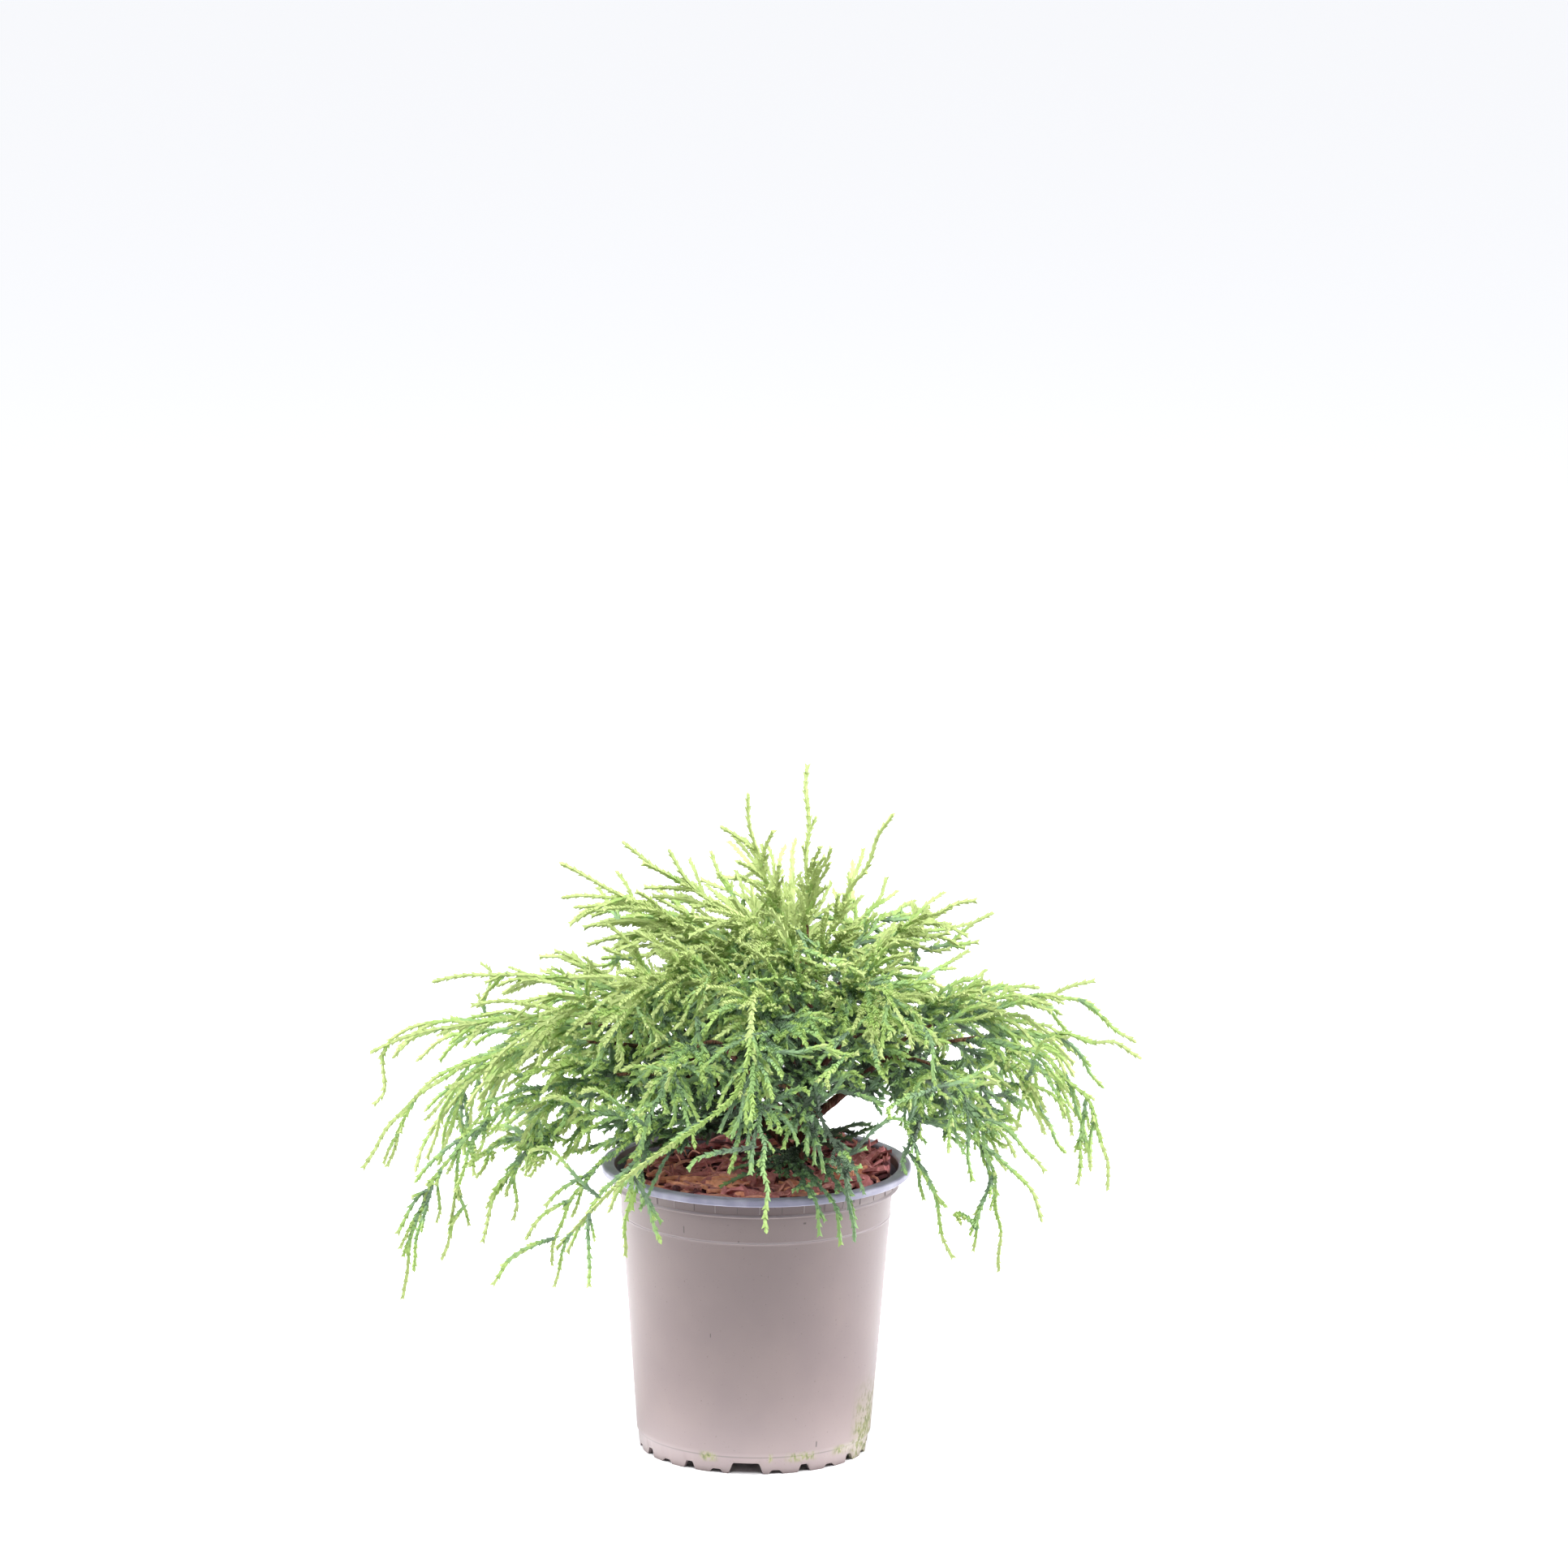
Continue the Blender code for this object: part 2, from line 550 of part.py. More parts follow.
class Space:
    """The room that each mass keeps to: the points nearer to its own limb than to any other."""

    def __init__(self, limbs, wood):
        self.index = {name: k for k, name in enumerate(limbs)}
        rows = [path.between(0, path.length, SAMPLES) for path in limbs.values()]
        self.limbs = np.array([[tuple(point) for point in row] for row in rows])
        self.wood = np.array([tuple(p) for path in wood for p in path.between(0, path.length, SAMPLES)])

    def holds(self, name, point):
        if not clear_of_pot(point) or not within_crown(point):
            return False
        here = np.array(tuple(point))
        if np.linalg.norm(self.wood - here, axis=1).min() < WOOD_MARGIN:
            return False
        gaps = np.linalg.norm(self.limbs - here, axis=2).min(axis=1)
        own = gaps[self.index[name]]
        return np.sort(gaps)[1 if own == gaps.min() else 0] - own > SPACE_MARGIN


def side_shoot(start, heading, length, sag, steps):
    """The axis of a spray that leaves at its heading and sinks as it grows."""
    points = [start.copy()]
    for i in range(steps):
        heading = (heading + Vector((0, 0, -sag * (i + 0.5) / steps))).normalized()
        points.append(points[-1] + heading * (length / steps))
    return points


def level_side(heading):
    """The level direction to the side of a heading."""
    level = heading.cross(Vector((0, 0, 1)))
    if level.length < UPRIGHT:
        level = heading.cross(Vector((0, 1, 0)))
    return level.normalized()


def side_heading(forward, side, angle, roll):
    """The heading of a shoot that leaves its parent sideways, at an angle to it."""
    out = Matrix.Rotation(math.radians(roll * side), 3, forward) @ level_side(forward) * side
    turn = math.radians(angle)
    return (forward * math.cos(turn) + out * math.sin(turn)).normalized()


class Blade:
    """A toothed blade along a line: it has a ridge above, and teeth on alternate edges that point forwards."""

    def __init__(self, points, edge, reach, thickness, tip_thickness, roll, first_tooth=0):
        self.points = points
        self.first_tooth = first_tooth
        self.rows = []
        heading = (points[1] - points[0]).normalized()
        across = Matrix.Rotation(math.radians(roll), 3, heading) @ level_side(heading)
        for i, point in enumerate(points[:-1]):
            ahead = (points[i + 1] - points[max(i - 1, 0)]).normalized()
            across = (heading.rotation_difference(ahead) @ across).normalized()
            heading = ahead
            up = across.cross(heading)
            share = i / (len(points) - 1)
            thick = thickness + (tip_thickness - thickness) * share
            narrowing = 1 - BLADE_NARROWING * share
            wide = across * edge * narrowing
            if i == 0:
                thick, wide = thick * BLADE_FOOT, wide * BLADE_FOOT
            side = 1 if i % 2 else -1
            forward = heading * (points[i + 1] - point).length * TOOTH_LEAN
            tooth = forward + across * side * reach * narrowing
            under = point - up * thick / 2
            self.rows.append((point + up * thick / 2, under + wide * side, under - wide * side, under + tooth))

    def outermost(self):
        """The points that reach furthest out: the line itself and the tips of the teeth."""
        halfway = [a.lerp(b, 0.5) for a, b in zip(self.points[1:], self.points[2:])]
        return self.points[1:] + halfway + [row[3] for row in self.rows[self.first_tooth:-1]]

    def solid(self, name, finish):
        """The blade as a closed object."""
        bm = bmesh.new()
        end = bm.verts.new(self.points[-1])
        rows = [[bm.verts.new(corner) for corner in row[:3]] for row in self.rows]
        bm.faces.new(rows[0])
        for k, (row, onward) in enumerate(zip(rows, rows[1:])):
            ridge, near, far = row
            next_ridge, next_far, next_near = onward
            if k < self.first_tooth:
                bm.faces.new((ridge, near, next_near, next_ridge))
                bm.faces.new((ridge, next_ridge, next_far, far))
                bm.faces.new((near, far, next_far, next_near))
                continue
            tooth = bm.verts.new(self.rows[k][3])
            bm.faces.new((ridge, near, tooth))
            bm.faces.new((ridge, tooth, next_near))
            bm.faces.new((ridge, next_near, next_ridge))
            bm.faces.new((ridge, next_ridge, next_far, far))
            bm.faces.new((near, next_near, tooth))
            bm.faces.new((near, far, next_far, next_near))
        ridge, near, far = rows[-1]
        bm.faces.new((ridge, near, end))
        bm.faces.new((ridge, end, far))
        bm.faces.new((near, far, end))
        return object_from(bm, name, finish, smooth=False)


def grow_mass(limb, path, start, space, number):
    """One mass: a toothed cord from the bough's tip, with sprays on both its sides."""
    leaf = material("foliage", LEAF_GREEN, 0.55)
    rng = random.Random(SEED + 31 * number)
    run = path.length - start
    rows = max(CORD_ROWS, round(run / CORD_STEP) + 1)
    points = [path.at(start)] + path.between(start + CORD_FOOT, path.length, rows)
    cord = Blade(points, CORD_EDGE, CORD_REACH, CORD_THICKNESS, CORD_TIP_THICKNESS,
                 rng.uniform(-BLADE_ROLL, BLADE_ROLL), len(points) // 2).solid(limb.name, leaf)
    core = Path(points)
    weeping = min(max((ARCH_HIGH - limb.arch) / (ARCH_HIGH - ARCH_LOW), 0.0), 1.0)
    sag = SPRAY_SAG_HIGH + (SPRAY_SAG_LOW - SPRAY_SAG_HIGH) * weeping
    sprays = helpers("sprays")
    count = round(run / SPRAY_SPACING)
    for k in range(count):
        share = SPRAY_FIRST + SPRAY_RUN * (k + rng.uniform(-SPRAY_JITTER, SPRAY_JITTER)) / count
        distance = core.length * max(share, SPRAY_NEAREST)
        length = limb.spray * (SPRAY_LENGTH - SPRAY_SHORTENING * share) * rng.uniform(*SPRAY_SPREAD)
        length = min(length, SPRAY_OVERRUN * (core.length - distance))
        for attempt in range(SPRAY_ATTEMPTS):
            side = 1 if (k + attempt // 2) % 2 else -1
            roll = rng.uniform(-SPRAY_ROLL, SPRAY_ROLL)
            angle = SPRAY_ANGLE * rng.uniform(*SPRAY_ANGLE_SPREAD)
            heading = side_heading(core.heading(distance), side, angle, roll)
            steps = max(2, round(length / SPRAY_STEP))
            axis = side_shoot(core.at(distance), heading, length, sag, steps)
            spray = Blade(axis, SPRAY_EDGE, SPRAY_REACH, SPRAY_THICKNESS, SPRAY_TIP_THICKNESS,
                          rng.uniform(-BLADE_ROLL, BLADE_ROLL))
            if all(space.holds(limb.name, point) for point in spray.outermost()):
                into(sprays, spray.solid("spray", leaf))
                break
            length *= SPRAY_RETRY
    boolean(cord, sprays, "UNION")
    drop_scraps(cord)
    return cord


def drop_scraps(piece):
    """Keeps only the largest connected body of a piece."""
    bm = bmesh.new()
    bm.from_mesh(piece.data)
    seen, bodies = set(), []
    for first in bm.verts:
        if first in seen:
            continue
        seen.add(first)
        body, queue = [], [first]
        while queue:
            vertex = queue.pop()
            body.append(vertex)
            for edge in vertex.link_edges:
                other = edge.other_vert(vertex)
                if other not in seen:
                    seen.add(other)
                    queue.append(other)
        bodies.append(body)
    bodies.sort(key=len)
    for body in bodies[:-1]:
        bmesh.ops.delete(bm, geom=body, context="VERTS")
    bm.to_mesh(piece.data)
    bm.free()


def build():
    for old in list(bpy.data.objects):
        bpy.data.objects.remove(old)
    build_pot()
    build_root_ball()
    build_mulch()
    trunk = trunk_path()
    build_trunk(trunk)
    stems = stem_paths(trunk)
    build_stems(stems)
    limbs = {limb.name: limb_path(limb, trunk, stems) for limb in LIMBS}
    space = Space(limbs, [trunk, *stems.values()])
    for number, limb in enumerate(LIMBS):
        start = 0.0
        if limb.bough:
            build_bough(limb, limbs[limb.name])
            start = limb.bough + GAP
        grow_mass(limb, limbs[limb.name], start, space, number)


build()
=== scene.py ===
# %% [markdown]
# A young thread-leaved cypress in a nursery pot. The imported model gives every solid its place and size, and
# this script dresses it: a moulded pot, a bed of shredded bark, bark on the wood, and some hundred thousand
# scale leaves along drooping threads. Lengths are metres, +Z is up, and -Y is the side seen first.

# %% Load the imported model
import json
import math
import random
from collections import namedtuple

import bmesh
import bpy
import numpy as np
from mathutils import Matrix, Vector

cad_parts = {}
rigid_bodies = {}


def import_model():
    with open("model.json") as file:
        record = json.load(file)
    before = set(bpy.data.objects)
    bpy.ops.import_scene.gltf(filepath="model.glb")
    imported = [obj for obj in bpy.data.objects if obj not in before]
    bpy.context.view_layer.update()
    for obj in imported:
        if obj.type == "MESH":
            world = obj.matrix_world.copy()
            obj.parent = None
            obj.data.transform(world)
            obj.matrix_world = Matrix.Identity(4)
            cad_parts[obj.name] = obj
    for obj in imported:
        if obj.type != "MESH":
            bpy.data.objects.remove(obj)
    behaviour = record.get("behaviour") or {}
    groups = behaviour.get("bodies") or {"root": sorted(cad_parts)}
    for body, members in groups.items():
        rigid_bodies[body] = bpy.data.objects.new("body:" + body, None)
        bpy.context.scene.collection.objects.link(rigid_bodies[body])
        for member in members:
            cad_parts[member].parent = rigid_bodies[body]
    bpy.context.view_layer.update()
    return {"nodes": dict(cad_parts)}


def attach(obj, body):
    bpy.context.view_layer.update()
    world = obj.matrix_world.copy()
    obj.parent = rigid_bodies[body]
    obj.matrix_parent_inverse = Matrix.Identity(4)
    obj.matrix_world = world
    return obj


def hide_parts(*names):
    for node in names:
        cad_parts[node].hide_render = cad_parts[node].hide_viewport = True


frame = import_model()
BODY = "root"

# %% [markdown]
# Shaders and geometry trees are both graphs of nodes. A long list of links is hard to read, so a socket is
# wrapped in a small class whose operators add Math nodes: 1 - mask * 0.5 then reads as it is meant. Every
# other node comes from one method that takes its type, its settings and what goes into its sockets.


# %% A socket that can be used in an expression
class Field:
    """One output socket. Each operator on it adds the Math node that works it out."""

    def __init__(self, graph, socket):
        self.graph = graph
        self.socket = socket

    def apply(self, operation, *values):
        return self.graph.node("ShaderNodeMath", {"operation": operation}, dict(enumerate(values)))

    def math(self, operation, *others):
        return self.apply(operation, self, *others)

    def __add__(self, other):
        return self.apply("ADD", self, other)

    def __radd__(self, other):
        return self.apply("ADD", other, self)

    def __sub__(self, other):
        return self.apply("SUBTRACT", self, other)

    def __rsub__(self, other):
        return self.apply("SUBTRACT", other, self)

    def __mul__(self, other):
        return self.apply("MULTIPLY", self, other)

    def __rmul__(self, other):
        return self.apply("MULTIPLY", other, self)

    def __gt__(self, other):
        return self.apply("GREATER_THAN", self, other)

    def __lt__(self, other):
        return self.apply("LESS_THAN", self, other)

    def __abs__(self):
        return self.apply("ABSOLUTE", self)

    def ramp(self, low, high):
        """0 below low, 1 above high, and a smooth rise between them, or a fall where low is the larger."""
        settings = {"interpolation_type": "SMOOTHSTEP"}
        values = {"Value": self, "From Min": low, "From Max": high}
        return self.graph.node("ShaderNodeMapRange", settings, values)

    def output(self, name):
        """Another output of the node that this one comes from."""
        return Field(self.graph, self.socket.node.outputs[name])


class Graph:
    """A tree of nodes that is written as expressions."""

    def __init__(self, tree):
        self.tree = tree

    def node(self, kind, settings=None, values=None, output=0):
        made = self.tree.nodes.new(kind)
        for key, value in (settings or {}).items():
            setattr(made, key, value)
        for key, value in (values or {}).items():
            if isinstance(value, Field):
                self.tree.links.new(value.socket, made.inputs[key])
            else:
                made.inputs[key].default_value = value
        return Field(self, made.outputs[output]) if made.outputs else None


# %% [markdown]
# A finish is one material. Its colour, its roughness and its relief may change over the surface, and
# whatever is the same everywhere is set on the shader's own sockets. Patterns read Object coordinates,
# which are metres here, because every finished piece has its object at the origin.


# %% Finishes
class Finish(Graph):
    """A material with one Principled shader, and the patterns that its inputs need."""

    def __init__(self, name, colour, roughness, specular=0.5):
        self.material = bpy.data.materials.new(name)
        self.material.use_nodes = True
        super().__init__(self.material.node_tree)
        self.shader = self.tree.nodes["Principled BSDF"]
        self.shader.inputs["Base Color"].default_value = (*colour, 1.0)
        self.shader.inputs["Roughness"].default_value = roughness
        self.shader.inputs["Specular IOR Level"].default_value = specular
        self.material.diffuse_color = (*colour, 1.0)

    def place(self):
        """The point on the surface, in metres, as a vector and as its three coordinates."""
        point = self.node("ShaderNodeTexCoord", output="Object")
        apart = self.node("ShaderNodeSeparateXYZ", values={0: point})
        return point, apart, apart.output("Y"), apart.output("Z")

    def noise(self, point, scale, detail=3.0):
        values = {"Vector": point, "Scale": scale, "Detail": detail}
        return self.node("ShaderNodeTexNoise", values=values)

    def stretched(self, point, scale):
        """The point with each coordinate multiplied, so that a pattern runs along one of them."""
        return self.node("ShaderNodeVectorMath", {"operation": "MULTIPLY"}, {0: point, 1: scale})

    def blend(self, mask, first, second):
        """One colour where the mask is 0, and another where it is 1."""
        values = {0: mask}
        for socket, colour in ((6, first), (7, second)):
            values[socket] = colour if isinstance(colour, Field) else (*colour, 1.0)
        return self.node("ShaderNodeMix", {"data_type": "RGBA"}, values, output=2)

    def feed(self, socket, field):
        self.tree.links.new(field.socket, self.shader.inputs[socket])

    def relief(self, height, distance, strength=1.0):
        values = {"Height": height, "Distance": distance, "Strength": strength}
        self.feed("Normal", self.node("ShaderNodeBump", values=values))


# %% [markdown]
# What repeats is made by Geometry Nodes. A tree has named inputs, and it is run on a start mesh: the
# modifier gets its values by the sockets' identifiers, the evaluated result is kept as a plain mesh, and
# the start mesh and its modifier go.


# %% Geometry trees
class Pattern(Graph):
    """A Geometry Nodes tree with a mesh going in and a mesh coming out."""

    def __init__(self, name, **inputs):
        super().__init__(bpy.data.node_groups.new(name, "GeometryNodeTree"))
        self.tree.interface.new_socket("Start", in_out="INPUT", socket_type="NodeSocketGeometry")
        for label, kind in inputs.items():
            self.tree.interface.new_socket(label, in_out="INPUT", socket_type="NodeSocket" + kind)
        self.tree.interface.new_socket("Result", in_out="OUTPUT", socket_type="NodeSocketGeometry")
        self.given = self.node("NodeGroupInput")

    def take(self, label):
        return self.given.output(label)

    def attribute(self, name):
        return self.node("GeometryNodeInputNamedAttribute", {"data_type": "FLOAT"}, {"Name": name})

    def turned(self, x, y, z):
        """A rotation by three angles in radians."""
        angles = self.node("ShaderNodeCombineXYZ", values={0: x, 1: y, 2: z})
        return self.node("FunctionNodeEulerToRotation", values={0: angles})

    def chance(self, low, high, seed):
        """A number for each point, between two limits."""
        values = {2: low, 3: high, "Seed": seed}
        return self.node("FunctionNodeRandomValue", {"data_type": "FLOAT"}, values, output=1)

    def end(self, geometry):
        """Real faces in place of instances, with the material on them."""
        real = self.node("GeometryNodeRealizeInstances", values={0: geometry})
        coloured = self.node("GeometryNodeSetMaterial", values={0: real, "Material": self.take("Finish")})
        self.node("NodeGroupOutput", values={0: coloured})

    def run(self, name, mesh, **values):
        start = bpy.data.objects.new(name + "_start", mesh)
        bpy.context.scene.collection.objects.link(start)
        step = start.modifiers.new("pattern", "NODES")
        step.node_group = self.tree
        sockets = [item for item in self.tree.interface.items_tree if item.in_out == "INPUT"]
        labels = {item.name: item.identifier for item in sockets}
        for label, value in values.items():
            step[labels[label]] = value
        graph = bpy.context.evaluated_depsgraph_get()
        result = bpy.data.meshes.new_from_object(start.evaluated_get(graph))
        bpy.data.objects.remove(start)
        for attribute in [a.name for a in result.attributes if a.name in ("girth", "glow")]:
            result.attributes.remove(result.attributes[attribute])
        return result


# %% Pieces
def piece(name, mesh, slot, *nodes):
    """A finished piece: it rides on the plant's one body and stands for the named solids."""
    made = bpy.data.objects.new(name, mesh)
    bpy.context.scene.collection.objects.link(made)
    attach(made, BODY)
    if nodes:
        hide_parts(*nodes)
    print(name, len(mesh.vertices), "vertices")
    return made


def mesh_from(bm, name, finish, smooth=True):
    """Turns a bmesh into a mesh with one material."""
    mesh = bpy.data.meshes.new(name)
    bm.to_mesh(mesh)
    bm.free()
    mesh.materials.append(finish.material)
    if smooth:
        mesh.shade_smooth()
        mesh.set_sharp_from_angle(angle=math.radians(40))
    return mesh


def polar(azimuth, radius, height):
    """A point at an azimuth in degrees, a distance from the pot's axis and a height."""
    turn = math.radians(azimuth)
    return Vector((radius * math.cos(turn), radius * math.sin(turn), height))


# %% [markdown]
# The photograph is a studio shot: a white ground that runs out of the frame, and hardly a shadow. So the
# lights are big soft ones on both sides and above, with a small one for the crown. The lens is long: the
# camera stands 5 m away and looks slightly down.

# %% Camera, floor and lights
CAMERA_DISTANCE, CAMERA_LENS = 5.0, 189.0
CAMERA_ELEVATION, CAMERA_ROLL = 11.5, 0.6
AIM = Vector((0.0145, 0.0, 0.4150))
FLOOR_RADIUS, FLOOR_GLOW, FAR_GLOW_SHARE = 14.0, 3.4, 0.14
# the ground shines like a light table close in front of the pot, and more weakly further off
NEAR_GLOW_FROM, NEAR_GLOW_TO, FAR_GLOW_FROM = (0.071, 0.076), (0.19, 0.09), (0.13, 0.32)
# its shine close by depends on the direction: from none at the first of these sines to full at the second
NEAR_GLOW_AHEAD = (0.3, -0.8)
# past this line in front, outside the frame, the ground lights nothing, but it is still seen as white
GROUND_END, GROUND_GONE = -0.42, -0.70
GROUND_PALE, GROUND_DARK, DAYLIGHT = (0.9, 0.9, 0.92), (0.05, 0.05, 0.05), (0.97, 0.98, 1.0)

scene = bpy.context.scene
scene.view_settings.view_transform = "Standard"
back = Vector((0.0, -math.cos(math.radians(CAMERA_ELEVATION)), math.sin(math.radians(CAMERA_ELEVATION))))
camera = bpy.data.objects.new("camera", bpy.data.cameras.new("camera"))
camera.data.lens = CAMERA_LENS
camera.data.clip_end = 100.0
camera.location = AIM + back * CAMERA_DISTANCE
turn = Matrix.Rotation(math.radians(CAMERA_ROLL), 4, "Z").to_quaternion()
camera.rotation_euler = ((-back).to_track_quat("-Z", "Y") @ turn).to_euler()
scene.collection.objects.link(camera)
scene.camera = camera

floor_finish = Finish("studio_floor", GROUND_PALE, 0.9, specular=0.0)
_, x, y, _ = floor_finish.place()
lit = y.ramp(GROUND_GONE, GROUND_END)
off = (x * x + y * y).math("SQRT")
ahead = y.math("DIVIDE", off).ramp(*NEAR_GLOW_AHEAD)
glow = off.ramp(*NEAR_GLOW_FROM) * off.ramp(*NEAR_GLOW_TO) * ahead
glow += off.ramp(*FAR_GLOW_FROM) * lit * FAR_GLOW_SHARE
seen = floor_finish.node("ShaderNodeLightPath", output="Is Camera Ray")
glow += (1 - lit) * seen * FAR_GLOW_SHARE
floor_finish.feed("Base Color", floor_finish.blend(lit.math("MAXIMUM", seen), GROUND_DARK, GROUND_PALE))
floor_finish.feed("Emission Color", floor_finish.blend(glow, (0.0, 0.0, 0.0), DAYLIGHT))
floor_finish.shader.inputs["Emission Strength"].default_value = FLOOR_GLOW
floor_mesh = bmesh.new()
bmesh.ops.create_circle(floor_mesh, cap_ends=True, segments=96, radius=FLOOR_RADIUS)
floor = bpy.data.objects.new("floor", mesh_from(floor_mesh, "floor", floor_finish))
scene.collection.objects.link(floor)


def softbox(name, place, aim, width, height, power, colour, spread=180.0):
    """A rectangular area light that faces a point; a grid on it can narrow its spread."""
    light = bpy.data.lights.new(name, "AREA")
    light.shape = "RECTANGLE"
    light.size, light.size_y = width, height
    light.energy = power
    light.color = colour
    light.spread = math.radians(spread)
    made = bpy.data.objects.new(name, light)
    made.location = place
    made.rotation_euler = (Vector(aim) - Vector(place)).to_track_quat("-Z", "Y").to_euler()
    scene.collection.objects.link(made)


softbox("left_softbox", (-1.5, 0.25, 0.7), (0, 0, 0.2), 1.2, 1.5, 48.0, (1.0, 1.0, 1.0))
softbox("right_softbox", (1.5, 0.15, 0.7), (0, 0, 0.2), 1.2, 1.5, 46.0, (1.0, 0.99, 1.0))
softbox("top_softbox", (0.0, -0.7, 1.8), (0, 0, 0.25), 1.6, 1.4, 46.0, (1.0, 1.0, 1.0))
softbox("crown_softbox", (0.0, -1.3, 1.0), (0, 0, 0.39), 0.5, 0.25, 0.38, (1.0, 1.0, 1.0), 22.0)


# %% Studio walls
BRIGHT_WALLS, DIM_WALL, WALLS_TURN = 0.80, 0.10, (-0.65, 0.25)


def studio_world():
    """Pale walls all round; the one behind the camera gives less light, but is seen as pale as the others."""
    world = bpy.data.worlds.new("studio")
    world.use_nodes = True
    graph = Graph(world.node_tree)
    direction = graph.node("ShaderNodeTexCoord", output="Generated")
    depth = graph.node("ShaderNodeSeparateXYZ", values={0: direction}).output("Y")
    seen = graph.node("ShaderNodeLightPath", output="Is Camera Ray")
    strength = DIM_WALL + depth.ramp(*WALLS_TURN).math("MAXIMUM", seen) * (BRIGHT_WALLS - DIM_WALL)
    backdrop = graph.tree.nodes["Background"]
    backdrop.inputs["Color"].default_value = (*DAYLIGHT, 1.0)
    graph.tree.links.new(strength.socket, backdrop.inputs["Strength"])
    return world


scene.world = studio_world()
print("camera at", tuple(round(x, 3) for x in camera.location))

# %% [markdown]
# The pot is one thin moulding: a turned profile with a rolled rim, a collar on a raised ridge, a faint ring
# below it and a foot that is pierced all round. A turned shape could come from the Screw modifier, but the
# openings under the foot change with the azimuth, so the profile is a function of the azimuth: it lifts
# the foot's lower edge over each opening.

# %% Pot sizes
RIM_RADIUS, RIM_TOP, RIM_LIP, RIM_FLANGE = 0.0950, 0.1783, 0.0044, 0.0080
RIM_ROUND = 0.0015
RIM_LIP_WIDTH = 0.0018
COLLAR_RADIUS, COLLAR_FLARE = 0.0868, 0.0008
RIDGE_HEIGHT, RIDGE_PROUD, RIDGE_FLANK = 0.1656, 0.0009, 0.0009
RING_HEIGHT, RING_PROUD, RING_FLANK = 0.1476, 0.00035, 0.0006
WALL_TOP_RADIUS, WALL_FOOT_RADIUS, WALL = 0.0838, 0.0717, 0.0016
SEAM_HEIGHT, SEAM_STEP = 0.0108, 0.0004
FOOT_HEIGHT, FOOT_RADIUS, FOOT_RING = 0.0092, 0.0702, 0.0022
FLOOR_THICKNESS = 0.0016
FOOT_STATIONS, STATIONS_PER_GATE, FOOT_TURN = 24, 6, -3.6
GATE, ARCH, SCALLOP = (0.0195, 0.0068, 0.78), (0.0064, 0.0048, 0.62), (0.0070, 0.0024, 0.6)
SHOULDER = 0.0013
POT_COLUMNS = 480
# rows this far off the ridge and the seam keep the smooth shading of the long wall flat
SUPPORT = 0.0030
COLLAR_RIBS = 20


def wall_radius(height):
    """Outer radius of the pot's plain wall at a height."""
    share = (height - FOOT_HEIGHT) / (RIDGE_HEIGHT - FOOT_HEIGHT)
    return WALL_FOOT_RADIUS + (WALL_TOP_RADIUS - WALL_FOOT_RADIUS) * share


# %% Foot openings
def opening_at(station):
    """Width, height and the top's share of the width of the opening at a station round the foot."""
    if station % STATIONS_PER_GATE == 0:
        return GATE
    return ARCH if station % 2 == 0 else SCALLOP


def foot_lift(azimuth):
    """Height of the foot's lower edge at an azimuth: the openings have soft shoulders."""
    lift = 0.0
    for station in range(FOOT_STATIONS):
        width, height, top_share = opening_at(station)
        middle = 270 + FOOT_TURN + 360 / FOOT_STATIONS * station
        offset = abs((azimuth - middle + 180) % 360 - 180)
        across = math.radians(offset) * FOOT_RADIUS
        shoulder = (width / 2 + SHOULDER - across) / (width / 2 * (1 - top_share) + SHOULDER)
        share = min(max(shoulder, 0.0), 1.0)
        lift = max(lift, height * share * share * (3 - 2 * share))
    return lift


# %% Pot profile and mesh
def arc(middle, radius, first, last, steps):
    """(radius, height) pairs along an arc, between two angles in degrees."""
    angles = [math.radians(first + (last - first) * i / steps) for i in range(steps + 1)]
    return [(middle[0] + radius * math.cos(a), middle[1] + radius * math.sin(a)) for a in angles]


